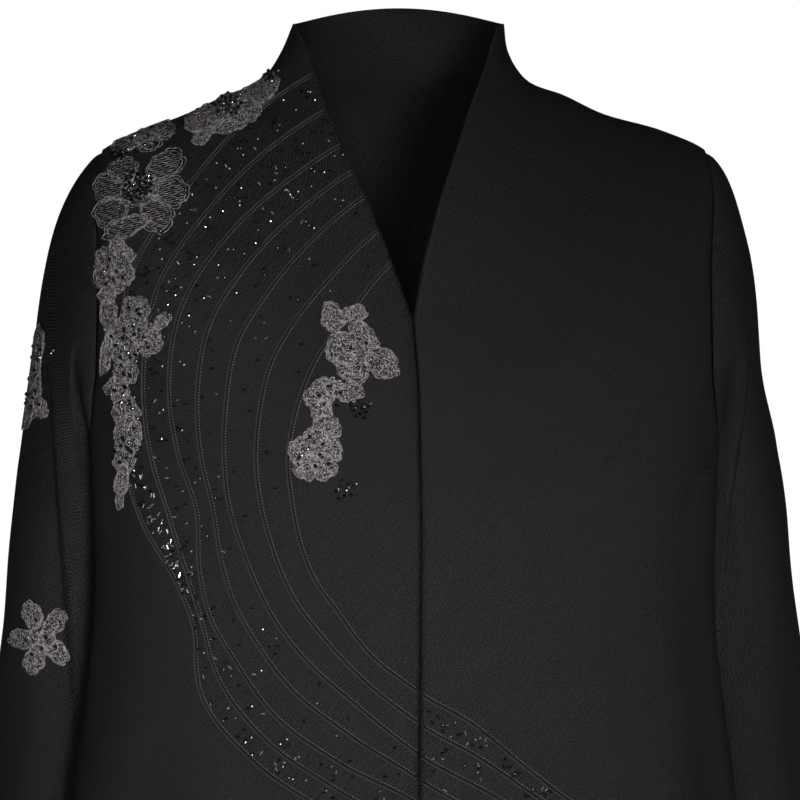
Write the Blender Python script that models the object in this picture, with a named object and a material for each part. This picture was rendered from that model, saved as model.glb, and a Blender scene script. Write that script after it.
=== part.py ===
"""Open-front abaya cloak, worn form with no wearer, metres, +Z up, front towards -Y.

The origin is the height of the neck points on the shoulder line, on the garment's middle.
All tables are in millimetres and degrees. The cloth is one surface, body_point, that runs
from the collar's top edge to the hem, and two sleeve tubes that grow from its armholes.
"""

from functools import partial

import bmesh
import bpy
import numpy as np
from mathutils import Vector
from mathutils.geometry import delaunay_2d_cdt

MM = 0.001
WALL = 1.6
SEAM_HALF_GAP = 0.17
SLEEVE_SEAM_GAP = 0.36
CENTRE_GAP = 0.5
TUCK_HEIGHT = 1.2
TUCK_HALF_WIDTH = 1.5
LACE_LIFT = 0.35
LACE_THICKNESS = 1.1

SHOULDER_TIP = 170.0
UNDERARM = 360.0
HEM = 1530.0
ARMHOLE_REACH = 30.0
ARMHOLE_ROUNDNESS = 0.8
ARM_ANGLE = 96.0
ARM_PRESS_FORWARD = 19.0
ARM_PRESS_BACKWARD = 30.0
SLEEVE_SPREAD = 0.8
SLEEVE_LEAVING_SHARE = 0.9

# The cloth is triangulated flat, with so many millimetres to a degree round it. The rest are
# the pitch of the points there and how far they keep from edges, tucks and lace.
DEGREE_TO_PLANE = 3.4
SLEEVE_DEGREE_TO_PLANE = 1.0
LATTICE_TURN = 8.0
SAMPLE_STEP = 2.0
EDGE_CLEARANCE = 8.0
LINE_CLEARANCE = 9.0
TUCK_EDGE_CLEARANCE = 4.0
TUCK_LACE_CLEARANCE = 3.0
FOLD_LACE_CLEARANCE = 2.0

# The body's sections, from the collar's top edge down: how far down the cloth each lies,
# its half width and middle, its depth and height at front, side and back, how square it is,
# and how far the hanging arm presses its side in.
RING_COLUMNS = (
    "down", "half_width", "middle_x", "y_front", "y_side", "y_back",
    "z_front", "z_side", "z_back", "squareness", "arm_press",
)
RINGS = (
    (0, 69, -4, -46, 8, 66, 16, 37, 50, 2.0, 0),
    (20, 74, -6.5, -52, 8, 68, -4, 19, 31, 2.0, 0),
    (44, 86.5, -7, -62, 8, 76, -32, 0.5, 8, 2.0, 0),
    (72, 110.5, -6.5, -73, 8, 86, -62, -9.5, -7, 2.05, 0),
    (100, 134.5, -6.5, -84, 8, 96, -92, -21, -24, 2.1, 0),
    (140, 170, -1, -96, 7, 106, -130, -33, -58, 2.25, 0),
    (170, 197.5, -0.5, -104, 5, 112, -155, -46.5, -84, 2.4, 0),
    (235, 213, 0, -120, 5, 118, -196, -110, -140, 2.6, 6),
    (300, 215, 0, -130, 5, 122, -232, -185, -200, 2.6, 30),
    (360, 214, 0, -135, 5, 124, -266, -250, -262, 2.6, 48),
    (440, 213, 0, -138, 5, 125, -336, -330, -334, 2.6, 58),
    (580, 230, 0, -142, 5, 130, -472, -470, -472, 2.5, 66),
    (760, 246, 0, -150, 5, 138, -652, -650, -652, 2.4, 62),
    (990, 268, 0, -162, 5, 150, -882, -880, -882, 2.3, 26),
    (1260, 297, 0, -180, 5, 170, -1152, -1150, -1152, 2.2, 0),
    (1530, 325, 0, -200, 5, 192, -1422, -1418, -1424, 2.1, 0),
)

# The soft folds of the hanging cloth: where each stands round the body at its upper and lower
# end (0 is the centre front, positive is the wearer's left), how wide it is, how far it stands
# out (negative is a trough), and between which heights down the cloth it grows in.
FOLD_COLUMNS = (
    "angle_top", "angle_low", "half_width_top", "half_width_low",
    "rise_top", "rise_low", "down_start", "down_full",
)
FOLDS = (
    (-31, -27, 6, 9, 5, 24, 420, 1100),
    (-41, -46, 5, 10, -8, -16, 400, 900),
    (-53, -66, 6, 10, 5, 22, 420, 1100),
    (7, 2, 5, 8, -3, -13, 480, 1200),
    (20, 24, 8, 11, 2, 19, 400, 1300),
    (45, 43, 6, 9, 5, 8, 330, 900),
    (54, 60, 6, 9, -9, -12, 300, 800),
    (68, 78, 5, 10, 3, 21, 450, 1200),
    (-88, -92, 9, 10, 0, 15, 760, 1300),
    (98, 101, 9, 9, 0, -10, 760, 1300),
    (118, 122, 8, 11, 4, 22, 300, 1200),
    (140, 145, 8, 10, -4, -12, 330, 1100),
    (163, 166, 9, 11, 4, 21, 300, 1200),
    (-174, -173, 8, 9, -3, -12, 300, 1100),
    (-152, -150, 8, 11, 5, 24, 320, 1200),
    (-131, -128, 8, 9, -5, -12, 300, 1100),
    (-111, -108, 8, 11, 3, 18, 420, 1200),
)

# The front edges as seen from the front: the neckline and then the closing line.
EDGE_COLUMNS = ("z", "right_front_x", "left_front_x")
FRONT_EDGES = (
    (60, -72, 66),
    (34, -70.5, 61),
    (25, -66, 58),
    (3, -58, 50.5),
    (-20, -51, 41.5),
    (-47, -39, 32.5),
    (-80, -23, 21.5),
    (-110, -11, 13.5),
    (-135, -2, 8.5),
    (-155, 5, 5),
    (-195, 8.5, 8.5),
    (-286, 10.5, 10.5),
    (-470, 9, 9),
    (-900, 8, 8),
    (-1430, 8, 8),
)

# The curved tucks, seen from the front, as distances from one middle point. The direction is
# 90 upwards, 180 towards the wearer's right and 270 down. The even tucks lie half-way between.
TUCK_MIDDLE_X = 9.75
TUCK_MIDDLE_Z = -253.5
TUCK_COLUMNS = ("direction", "first", "third", "fifth", "seventh")
TUCK_GUIDES = (
    (96, 276, 224, 187, 138),
    (115, 254, 205, 164, 110),
    (130, 236, 195, 151, 100),
    (145, 225, 186, 143, 92),
    (160, 206, 171, 132, 87),
    (175, 192, 156, 126, 85),
    (190, 181, 145, 124, 84),
    (205, 171, 155, 124, 87),
    (215, 176, 163, 127, 91),
    (225, 198, 168, 132, 96),
    (240, 212, 181, 141, 104),
    (255, 224, 192, 154, 121),
    (270, 250, 211, 180, 141),
    (285, 303, 260, 219, 176),
    (295, 356, 312, 268, 234),
    (305, 436, 392, 350, 315),
)
TUCK_COUNT = 7
TUCK_STEP = 6.0

# The lace motifs, each a row of round lobes along its middle line, seen from the front.
LACE_COLUMNS = ("x", "z", "half_width")
LACE_ON_FRONT = {
    "lace_collar_side": ((-136, -33, 9), (-115, -25, 14), (-95, -17, 9)),
    "lace_shoulder": ((-182, -49, 4.5), (-171, -45, 5.5), (-161, -42, 5)),
    "lace_flower": ((-179, -80, 13), (-169, -79, 21), (-156, -79, 16)),
    "lace_upper_chest": ((-184, -115, 7), (-184, -124, 9.5), (-184, -133, 8)),
    "lace_column": (
        (-175, -163, 13), (-175, -172, 16), (-180, -190, 12),
        (-179, -215, 12), (-180, -243, 8), (-181, -268, 5),
    ),
    "lace_chest": (
        (-38, -155, 8), (-30, -180, 18), (-42, -201, 11),
        (-54, -216, 13), (-55, -238, 17), (-57, -259, 10),
    ),
}
LACE_ON_SLEEVE = {
    "lace_sleeve_upper": ((-239, -168, 5), (-240, -190, 9), (-243, -216, 6)),
    "lace_sleeve_lower": ((-247, -365, 7), (-239, -361, 13), (-231, -361, 9)),
}
LACE_STEP = 9.0
SCALLOP_PITCH = 14.0
SCALLOP_DEPTH = 0.13

# The sleeve's sections, for the wearer's left: how far down the sleeve each lies, its middle,
# its half width outwards and half depth fore and aft, and how much its outer side is raised.
SLEEVE_COLUMNS = ("down", "x", "y", "z", "half_out", "half_fore", "outer_raise")
SLEEVE_RINGS = (
    (200, 212.5, 31, -274, 39.5, 53, 28),
    (300, 221, 35, -372, 41.5, 54, 12),
    (410, 229, 37, -482, 41, 56, 4),
    (545, 240, 36, -614, 40, 57, -3),
)
SLEEVE_LENGTH = 545.0

# The sleeves' folds: the side, where each stands round the sleeve at its upper and lower end
# (0 is the outer side, 90 the front), its width, how far it stands out, and its ends down the
# sleeve. A flap is the edge of a layer that lies over the cloth outside it.
SLEEVE_FOLD_COLUMNS = (
    "side", "angle_top", "angle_low", "half_width", "rise", "down_start", "down_end", "flap",
)
SLEEVE_FOLDS = (
    (-1, 50, 118, 2.5, 7, 95, 400, 1),
    (1, 62, 128, 2.5, 6, 60, 360, 1),
    (-1, 150, 140, 16, -6, 90, 330, 0),
    (1, 140, 132, 16, -6, 60, 300, 0),
    (-1, 25, 10, 16, 4, 260, 560, 0),
    (1, 20, 35, 15, 5, 240, 560, 0),
    (-1, -60, -40, 17, -6, 200, 560, 0),
    (1, -55, -75, 16, -6, 180, 560, 0),
    (-1, -115, -95, 18, 5, 150, 560, 0),
    (1, -105, -120, 18, 5, 170, 560, 0),
    (1, 0, 0, 60, -7, 20, 560, 0),
    (1, 0, 0, 40, -8, 5, 190, 0),
)

BODY_COLOURS = {"cloth": (0.011, 0.010, 0.011, 1.0), "lace": (0.10, 0.09, 0.095, 1.0)}
ROUGHNESS = {"cloth": 0.85, "lace": 0.8}


def columns(names, rows):
    """The rows of a table as one array for each named column."""
    return dict(zip(names, np.array(rows, float).T))


RING = columns(RING_COLUMNS, RINGS)
FOLD = columns(FOLD_COLUMNS, FOLDS)
EDGE = columns(EDGE_COLUMNS, FRONT_EDGES)
TUCK = columns(TUCK_COLUMNS, TUCK_GUIDES)
SLEEVE = columns(SLEEVE_COLUMNS, SLEEVE_RINGS)
SLEEVE_FOLD = columns(SLEEVE_FOLD_COLUMNS, SLEEVE_FOLDS)


def smooth(at, stations, values):
    """A smooth curve through a table's values: cubic, with each station's slope the mean one
    between its neighbours. The values may be points, one a station."""
    stations = np.asarray(stations, float)
    values = np.asarray(values, float)
    slopes = np.gradient(values, stations, axis=0)
    at = np.clip(at, stations[0], stations[-1])
    i = np.clip(np.searchsorted(stations, at, side="right") - 1, 0, len(stations) - 2)
    width = stations[i + 1] - stations[i]
    f = (at - stations[i]) / width
    if values.ndim > 1:
        f = f[..., None]
        width = width[..., None]
    return (
        (2 * f**3 - 3 * f**2 + 1) * values[i]
        + (f**3 - 2 * f**2 + f) * width * slopes[i]
        + (3 * f**2 - 2 * f**3) * values[i + 1]
        + (f**3 - f**2) * width * slopes[i + 1]
    )


def ease(value, start, end):
    """0 before start, 1 after end, and a smooth step between."""
    f = np.clip((value - start) / (end - start), 0, 1)
    return f * f * (3 - 2 * f)


def turn_between(angle, centre):
    """The signed way round from one angle to another, in degrees."""
    return (angle - centre + 180) % 360 - 180


def fold_rise(down, angle):
    """How far the hanging folds stand out of the plain section: a sum of soft ridges."""
    rise = np.zeros(np.shape(down))
    for row in range(len(FOLDS)):
        fold = {name: FOLD[name][row] for name in FOLD_COLUMNS}
        grown = ease(down, fold["down_start"], fold["down_full"])
        low = ease(down, fold["down_start"], HEM)
        middle = fold["angle_top"] + (fold["angle_low"] - fold["angle_top"]) * low
        width = fold["half_width_top"] + (fold["half_width_low"] - fold["half_width_top"]) * low
        height = fold["rise_top"] + (fold["rise_low"] - fold["rise_top"]) * low
        rise += grown * height * np.exp(-((turn_between(angle, middle) / width) ** 2))
    return rise


def body_point(down, angle):
    """The body cloth's outer face: a superellipse section round the body at each distance down
    the cloth, dipped to the front and back, pressed in at the arms, with the folds added."""
    down = np.asarray(down, float)
    angle = np.asarray(angle, float)
    ring = {name: smooth(down, RING["down"], RING[name]) for name in RING_COLUMNS[1:]}
    sine = np.sin(np.radians(angle))
    cosine = np.cos(np.radians(angle))
    power = ring["squareness"]
    reach = (np.abs(sine) ** power + np.abs(cosine) ** power) ** (-1 / power)
    from_side = turn_between(np.abs(turn_between(angle, 0)), ARM_ANGLE)
    press_width = np.where(from_side < 0, ARM_PRESS_FORWARD, ARM_PRESS_BACKWARD)
    press = ring["arm_press"] * np.exp(-((from_side / press_width) ** 2))
    forward = cosine > 0
    depth = np.where(forward, ring["y_front"] - ring["y_side"], ring["y_side"] - ring["y_back"])
    drop = np.where(forward, ring["z_front"], ring["z_back"]) - ring["z_side"]
    x = ring["middle_x"] + ring["half_width"] * sine * reach - press * np.sign(sine)
    y = ring["y_side"] + depth * cosine * reach
    z = ring["z_side"] + drop * cosine**2
    rise = fold_rise(down, angle)
    out_x = sine / ring["half_width"]
    out_y = -cosine / np.abs(depth)
    length = np.hypot(out_x, out_y)
    return np.stack([x + rise * out_x / length, y + rise * out_y / length, z], axis=-1)


def armhole(turn):
    """Where the armhole seam runs on the body cloth: 0 is the shoulder tip, 180 the underarm."""
    middle = (SHOULDER_TIP + UNDERARM) / 2
    half = (UNDERARM - SHOULDER_TIP) / 2
    down = middle - half * np.cos(np.radians(turn))
    inwards = ARMHOLE_REACH * np.abs(np.sin(np.radians(turn))) ** ARMHOLE_ROUNDNESS
    return down, inwards


def armhole_angle(down):
    """The angle round the body at which a section meets the armhole, 90 above and below it."""
    middle = (SHOULDER_TIP + UNDERARM) / 2
    half = (UNDERARM - SHOULDER_TIP) / 2
    turn = np.degrees(np.arccos(np.clip((middle - down) / half, -1, 1)))
    return 90 - armhole(turn)[1]


def armhole_places(side, turn):
    """The armhole seam's own places on the body cloth, once round from the shoulder tip by the
    front and the underarm, or backwards by the back."""
    down, inwards = armhole(turn)
    return down, side * (90 - inwards * np.sign(np.sin(np.radians(turn))))


def tangents(surface, first, second, step_first=0.5, step_second=0.25):
    """The surface's two directions at a point, by central differences."""
    along = surface(first + step_first, second) - surface(first - step_first, second)
    across = surface(first, second + step_second) - surface(first, second - step_second)
    return along, across


def unit(vectors):
    """Vectors divided by their lengths."""
    return vectors / np.linalg.norm(vectors, axis=-1, keepdims=True)


def body_normal(down, angle):
    """The body cloth's outward direction."""
    along, across = tangents(body_point, np.clip(down, 1.0, HEM - 1.0), angle)
    return unit(np.cross(along, across))


def sleeve_point(side, down, turn):
    """The sleeve's outer face: it leaves the armhole along the body cloth and runs smoothly
    through the sleeve's sections, with its folds added."""
    down, turn = np.broadcast_arrays(np.asarray(down, float), np.asarray(turn, float))
    sine = np.sin(np.radians(turn))
    cosine = np.cos(np.radians(turn))
    seam_down, seam_angle = armhole_places(side, turn)
    start = body_point(seam_down, seam_angle)
    before, after = armhole_places(side, turn - 0.5), armhole_places(side, turn + 0.5)
    seam_way = body_point(*after) - body_point(*before)
    away = side * unit(np.cross(body_normal(seam_down, seam_angle), seam_way))
    out_way = np.array([side * 1.0, 0.0, -0.25])
    leave = unit(away + SLEEVE_SPREAD * (sine**2)[..., None] * out_way)
    stations = [start]
    for row in range(len(SLEEVE_RINGS)):
        ring = {name: SLEEVE[name][row] for name in SLEEVE_COLUMNS}
        stations.append(np.stack([
            side * (ring["x"] + ring["half_out"] * cosine),
            ring["y"] - ring["half_fore"] * sine,
            ring["z"] + ring["outer_raise"] * cosine,
        ], axis=-1))
    places = np.concatenate([[0.0], SLEEVE["down"]])
    reach = np.linalg.norm(stations[1] - stations[0], axis=-1, keepdims=True)
    slopes = [leave * reach * SLEEVE_LEAVING_SHARE / places[1]]
    for row in range(1, len(stations)):
        after = min(row + 1, len(stations) - 1)
        slopes.append((stations[after] - stations[row - 1]) / (places[after] - places[row - 1]))
    slopes[1] = np.where((cosine < 0)[..., None], slopes[2], slopes[1])
    point = np.zeros(start.shape)
    for row in range(len(stations) - 1):
        width = places[row + 1] - places[row]
        f = np.clip((down - places[row]) / width, 0, 1)[..., None]
        last = row == len(stations) - 2
        here = (down >= places[row]) & ((down < places[row + 1]) | last)
        piece = (
            (2 * f**3 - 3 * f**2 + 1) * stations[row]
            + (f**3 - 2 * f**2 + f) * width * slopes[row]
            + (3 * f**2 - 2 * f**3) * stations[row + 1]
            + (f**3 - f**2) * width * slopes[row + 1]
        )
        point = np.where(here[..., None], piece, point)
    rise = sleeve_fold_rise(side, down, turn)
    outwards = np.stack([side * cosine, -sine, np.zeros(sine.shape)], axis=-1)
    return point + rise[..., None] * outwards


def sleeve_fold_rise(side, down, turn):
    """How far the sleeve's folds stand out. A flap rises in one step and dies away behind it."""
    rise = np.zeros(np.shape(down))
    for row in range(len(SLEEVE_FOLDS)):
        fold = {name: SLEEVE_FOLD[name][row] for name in SLEEVE_FOLD_COLUMNS}
        if fold["side"] != side:
            continue
        span = fold["down_end"] - fold["down_start"]
        run = np.clip((down - fold["down_start"]) / span, 0, 1)
        middle = fold["angle_top"] + (fold["angle_low"] - fold["angle_top"]) * run
        grown = ease(run, 0.0, 0.3)
        if fold["down_end"] < SLEEVE_LENGTH:
            grown = grown * ease(1 - run, 0.0, 0.3)
        off = turn_between(turn, middle)
        if fold["flap"]:
            shape = ease(off, -fold["half_width"], fold["half_width"]) * ease(-off, -75.0, -8.0)
        else:
            shape = np.exp(-((off / fold["half_width"]) ** 2))
        rise = rise + grown * fold["rise"] * shape
    return rise


def sleeve_normal(side, down, turn):
    """The sleeve's outward direction."""
    down = np.clip(down, 1.0, SLEEVE_LENGTH - 1.0)
    along, across = tangents(partial(sleeve_point, side), down, turn, 0.5, 0.5)
    return unit(np.cross(across, along)) * side


def edge_x(side, z):
    """Where a front's edge lies, seen from the front. Side -1 is the wearer's right."""
    column = "right_front_x" if side < 0 else "left_front_x"
    order = np.argsort(EDGE["z"])
    return np.interp(z, EDGE["z"][order], EDGE[column][order]) + side * CENTRE_GAP / 2


def front_edge_angle(side, down):
    """The angle at which a section meets the front's edge, by halving an interval."""
    low = np.full(np.shape(down), -25.0)
    high = np.full(np.shape(down), 89.0)
    for _ in range(40):
        middle = (low + high) / 2
        point = body_point(down, side * middle)
        outside = side * (point[..., 0] - edge_x(side, point[..., 2])) > 0
        high = np.where(outside, middle, high)
        low = np.where(outside, low, middle)
    return side * (low + high) / 2


def find_on(surface, x, z, first, second, low, high):
    """The surface's own two numbers for a point given as seen from the front, by Newton steps."""
    for _ in range(30):
        here = surface(first, second)
        along = surface(first + 0.5, second) - surface(first - 0.5, second)
        across = (surface(first, second + 0.25) - surface(first, second - 0.25)) / 0.5
        miss_x = x - here[..., 0]
        miss_z = z - here[..., 2]
        area = along[..., 0] * across[..., 2] - along[..., 2] * across[..., 0]
        area = np.where(np.abs(area) < 0.05, np.copysign(0.05, area), area)
        step_first = (miss_x * across[..., 2] - miss_z * across[..., 0]) / area
        step_second = (along[..., 0] * miss_z - along[..., 2] * miss_x) / area
        first = np.clip(first + np.clip(step_first, -30, 30), low[0], high[0])
        second = np.clip(second + np.clip(step_second, -8, 8), low[1], high[1])
    return first, second


def find_on_body(x, z):
    """The distance down and the angle of points on the fronts, given as seen from the front."""
    guess = np.degrees(np.arcsin(np.clip(x / 225.0, -0.95, 0.95)))
    return find_on(body_point, x, z, 110.0 - z, guess, (2, -88), (HEM, 88))


def tuck_line(number):
    """One tuck as seen from the front, with the distance from the middle read off the guides."""
    directions = np.arange(TUCK["direction"][0], TUCK["direction"][-1] + 0.1, TUCK_STEP)
    place = number / 2
    names = TUCK_COLUMNS[1:]
    lower = int(np.floor(place))
    upper = min(lower + 1, len(names) - 1)
    between = place - lower
    radii = (1 - between) * TUCK[names[lower]] + between * TUCK[names[upper]]
    radius = smooth(directions, TUCK["direction"], radii)
    x = TUCK_MIDDLE_X + radius * np.cos(np.radians(directions))
    z = TUCK_MIDDLE_Z + radius * np.sin(np.radians(directions))
    return np.stack([x, z], axis=-1)


def lace_outline(rows):
    """A motif's closed outline seen from the front: its middle line widened by its half width,
    rounded at both ends and scalloped at an even pitch."""
    table = columns(LACE_COLUMNS, rows)
    spine = np.stack([table["x"], table["z"], table["half_width"]], axis=-1)
    run = np.concatenate([[0], np.cumsum(np.hypot(np.diff(table["x"]), np.diff(table["z"])))])
    count = max(3, int(run[-1] / LACE_STEP))
    at = np.linspace(0, run[-1], count)
    line = smooth(at, run, spine)
    way = unit(np.gradient(line[:, :2], axis=0))
    side = np.stack([-way[:, 1], way[:, 0]], axis=-1)
    caps = np.radians([50.0, 0.0, -50.0])
    right = line[:, :2] + side * line[:, 2:]
    left = line[::-1, :2] - side[::-1] * line[::-1, 2:]
    end = [line[-1, :2] + line[-1, 2] * (np.cos(c) * way[-1] + np.sin(c) * side[-1]) for c in caps]
    begin = [line[0, :2] - line[0, 2] * (np.cos(c) * way[0] + np.sin(c) * side[0]) for c in caps]
    loop = np.array([*right, *end, *left, *begin])
    middle = np.array([*line[:, :2], *[line[-1, :2]] * 3, *line[::-1, :2], *[line[0, :2]] * 3])
    steps = np.hypot(*(np.roll(loop, -1, axis=0) - loop).T)
    phase = 2 * np.pi * np.cumsum(steps) / SCALLOP_PITCH
    return middle + (loop - middle) * (1 + SCALLOP_DEPTH * np.sin(phase))[:, None]


def inside(points, loop):
    """Whether each flat point lies inside a closed loop, by counting crossings."""
    x, y = points[:, None, 0], points[:, None, 1]
    x0, y0 = loop[None, :, 0], loop[None, :, 1]
    x1, y1 = np.roll(loop, -1, axis=0)[None].transpose(2, 0, 1)
    spans = (y0 > y) != (y1 > y)
    rise = np.where(spans, y1 - y0, 1.0)
    return (spans & (x < x0 + (y - y0) / rise * (x1 - x0))).sum(axis=1) % 2 == 1


def nearest(points, others):
    """How far each flat point is from the nearest of the others."""
    if not len(others):
        return np.full(len(points), np.inf)
    return np.linalg.norm(points[:, None] - others[None], axis=-1).min(axis=1)


def along_line(points, step):
    """More points along a flat line, for measuring distances to it."""
    parts = []
    for a, b in zip(points[:-1], points[1:]):
        count = max(2, int(np.linalg.norm(b - a) / step))
        parts.append(a + (b - a) * np.linspace(0, 1, count)[:, None])
    return np.concatenate(parts)


def closed_line(loop):
    """More points round a closed loop."""
    return along_line(np.concatenate([loop, loop[:1]]), SAMPLE_STEP)


def triangles(plane, loop_count, lines):
    """The triangles between flat points. The first loop_count points are the outline, in order,
    and each line is a run of point numbers that triangle sides follow."""
    edges = [(i, (i + 1) % loop_count) for i in range(loop_count)]
    for line in lines:
        edges.extend((int(a), int(b)) for a, b in zip(line[:-1], line[1:]))
    flat, _, faces, came_from, _, _ = delaunay_2d_cdt(
        [Vector(p) for p in plane], edges, [list(range(loop_count))], 1, 1e-4, True
    )
    number = np.array([origin[0] if origin else -1 for origin in came_from])
    if (number < 0).any():
        places = [tuple(flat[i]) for i in np.flatnonzero(number < 0)]
        raise ValueError(f"two of the lines that shape the cloth cross near {places}")
    found = np.array([[number[i] for i in face] for face in faces if len(face) == 3])
    return found[inside(plane[found].mean(axis=1), plane[:loop_count])]


def new_material(name, kind):
    """A plain material of one kind of cloth."""
    material = bpy.data.materials.new(name)
    material.use_nodes = True
    shader = material.node_tree.nodes["Principled BSDF"]
    shader.inputs["Base Color"].default_value = BODY_COLOURS[kind]
    shader.inputs["Roughness"].default_value = ROUGHNESS[kind]
    shader.inputs["Metallic"].default_value = 0.0
    return material


def add_solid(collection, name, points, faces, kind):
    """A closed mesh object, its faces turned outwards."""
    shape = bmesh.new()
    corners = [shape.verts.new(point * MM) for point in points]
    for face in faces:
        shape.faces.new([corners[i] for i in face])
    bmesh.ops.recalc_face_normals(shape, faces=shape.faces)
    if shape.calc_volume(signed=True) < 0:
        bmesh.ops.reverse_faces(shape, faces=shape.faces)
    loose = [vert for vert in shape.verts if not vert.link_faces]
    bmesh.ops.delete(shape, geom=loose, context="VERTS")
    mesh = bpy.data.meshes.new(name)
    shape.to_mesh(mesh)
    shape.free()
    mesh.materials.append(new_material(name + "_" + kind, kind))
    obj = bpy.data.objects.new(name, mesh)
    collection.objects.link(obj)
    return obj


def shell(outer, inner, outer_faces, inner_faces, loops):
    """A wall: an outer face, an inner face and the edge walls between them along each loop of
    (outer number, inner number) pairs."""
    shift = len(outer)
    faces = [tuple(face) for face in outer_faces]
    faces += [tuple(int(i) + shift for i in face[::-1]) for face in inner_faces]
    for loop in loops:
        for (a, c), (b, d) in zip(loop, loop[1:] + loop[:1]):
            faces.append((b, a, shift + c))
            faces.append((b, shift + c, shift + d))
    return np.concatenate([outer, inner]), faces


def lace_solids(collection, motifs, middles, base, normal, faces):
    """Each motif is the part of the cloth's own outer face inside its outline, moved out."""
    for name, loop in motifs.items():
        chosen = faces[inside(middles, loop)]
        under = base + normal * LACE_LIFT
        over = base + normal * (LACE_LIFT + LACE_THICKNESS)
        sides = np.concatenate([chosen[:, [0, 1]], chosen[:, [1, 2]], chosen[:, [2, 0]]])
        known = {(int(a), int(b)) for a, b in sides}
        rim = [(a, b) for a, b in known if (b, a) not in known]
        count = len(base)
        solid = [tuple(face) for face in chosen]
        solid += [tuple(int(i) + count for i in face[::-1]) for face in chosen]
        for a, b in rim:
            solid.append((b, a, count + a))
            solid.append((b, count + a, count + b))
        add_solid(collection, name, np.concatenate([over, under]), solid, "lace")


def body_plane(down, angle):
    """Places on the body cloth as flat points, for triangulating."""
    return np.stack([angle * DEGREE_TO_PLANE, -np.asarray(down, float)], axis=-1)


def body_rows():
    """How far down the cloth the rows of points lie: closer at the collar and the armhole."""
    collar = np.array([0, 14, 30, 46])
    shoulder = np.array([68, 92, 117, 144])
    around_arm = armhole(np.linspace(0, 180, 11))[0]
    skirt = np.linspace(UNDERARM, HEM, 19)[1:]
    return np.concatenate([collar, shoulder, around_arm, skirt])


def body_panel(collection, name, left, right, top_angles, hem_angles, tucks=(), motifs=None):
    """One panel of the body between two edges. Each edge is a function of the distance down,
    and the panel is triangulated from its outline, an even lattice, the tucks and the lace."""
    rows = body_rows()
    top = np.array(top_angles)
    hem = np.array(hem_angles)
    left_edge = np.stack([rows, left(rows)], axis=-1)
    right_edge = np.stack([rows, right(rows)], axis=-1)
    top_row = np.stack([np.zeros(len(top)), top], axis=-1)
    hem_row = np.stack([np.full(len(hem), HEM), hem], axis=-1)
    outline = np.concatenate([left_edge, hem_row, right_edge[::-1], top_row[::-1]])
    shift = np.concatenate([
        np.full(len(rows), SEAM_HALF_GAP), np.zeros(len(hem)),
        np.full(len(rows), -SEAM_HALF_GAP), np.zeros(len(top)),
    ])
    flat_outline = body_plane(outline[:, 0], outline[:, 1])
    angles = np.arange(-88.0, 272.0, LATTICE_TURN)
    lattice = np.stack(np.meshgrid(rows[1:-1], angles, indexing="ij"), axis=-1).reshape(-1, 2)
    flat = body_plane(lattice[:, 0], lattice[:, 1])
    rim = closed_line(flat_outline)
    keep = inside(flat, flat_outline) & (nearest(flat, rim) > EDGE_CLEARANCE)
    lattice = lattice[keep]

    plain = np.concatenate([outline, lattice])
    plain_plane = body_plane(plain[:, 0], plain[:, 1])
    plain_faces = triangles(plain_plane, len(outline), [])
    inner = panel_points(plain, shift) - WALL * body_normal(plain[:, 0], plain[:, 1])
    if not len(tucks) and not motifs:
        full, full_faces = plain, plain_faces
        heights = np.zeros(len(full))
        loops = {}
    else:
        full, full_faces, heights, loops = with_lines(outline, lattice, rim, tucks, motifs or {})
    normal = body_normal(full[:, 0], full[:, 1])
    base = panel_points(full, shift)
    outer = base + heights[:, None] * normal
    pairs = [(i, i) for i in range(len(outline))]
    points, faces = shell(outer, inner, full_faces, plain_faces, [pairs])
    add_solid(collection, name, points, faces, "cloth")
    if loops:
        middles = body_plane(full[:, 0], full[:, 1])[full_faces].mean(axis=1)
        lace_solids(collection, loops, middles, outer, normal, full_faces)


def panel_points(places, shift):
    """The panel's points, with its two sewn edges held back from the seam's middle."""
    points = body_point(places[:, 0], places[:, 1])
    count = len(shift)
    down = np.clip(places[:count, 0], 1.0, HEM - 1.0)
    across = tangents(body_point, down, places[:count, 1])[1]
    points[:count] += unit(across) * shift[:, None]
    return points


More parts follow.
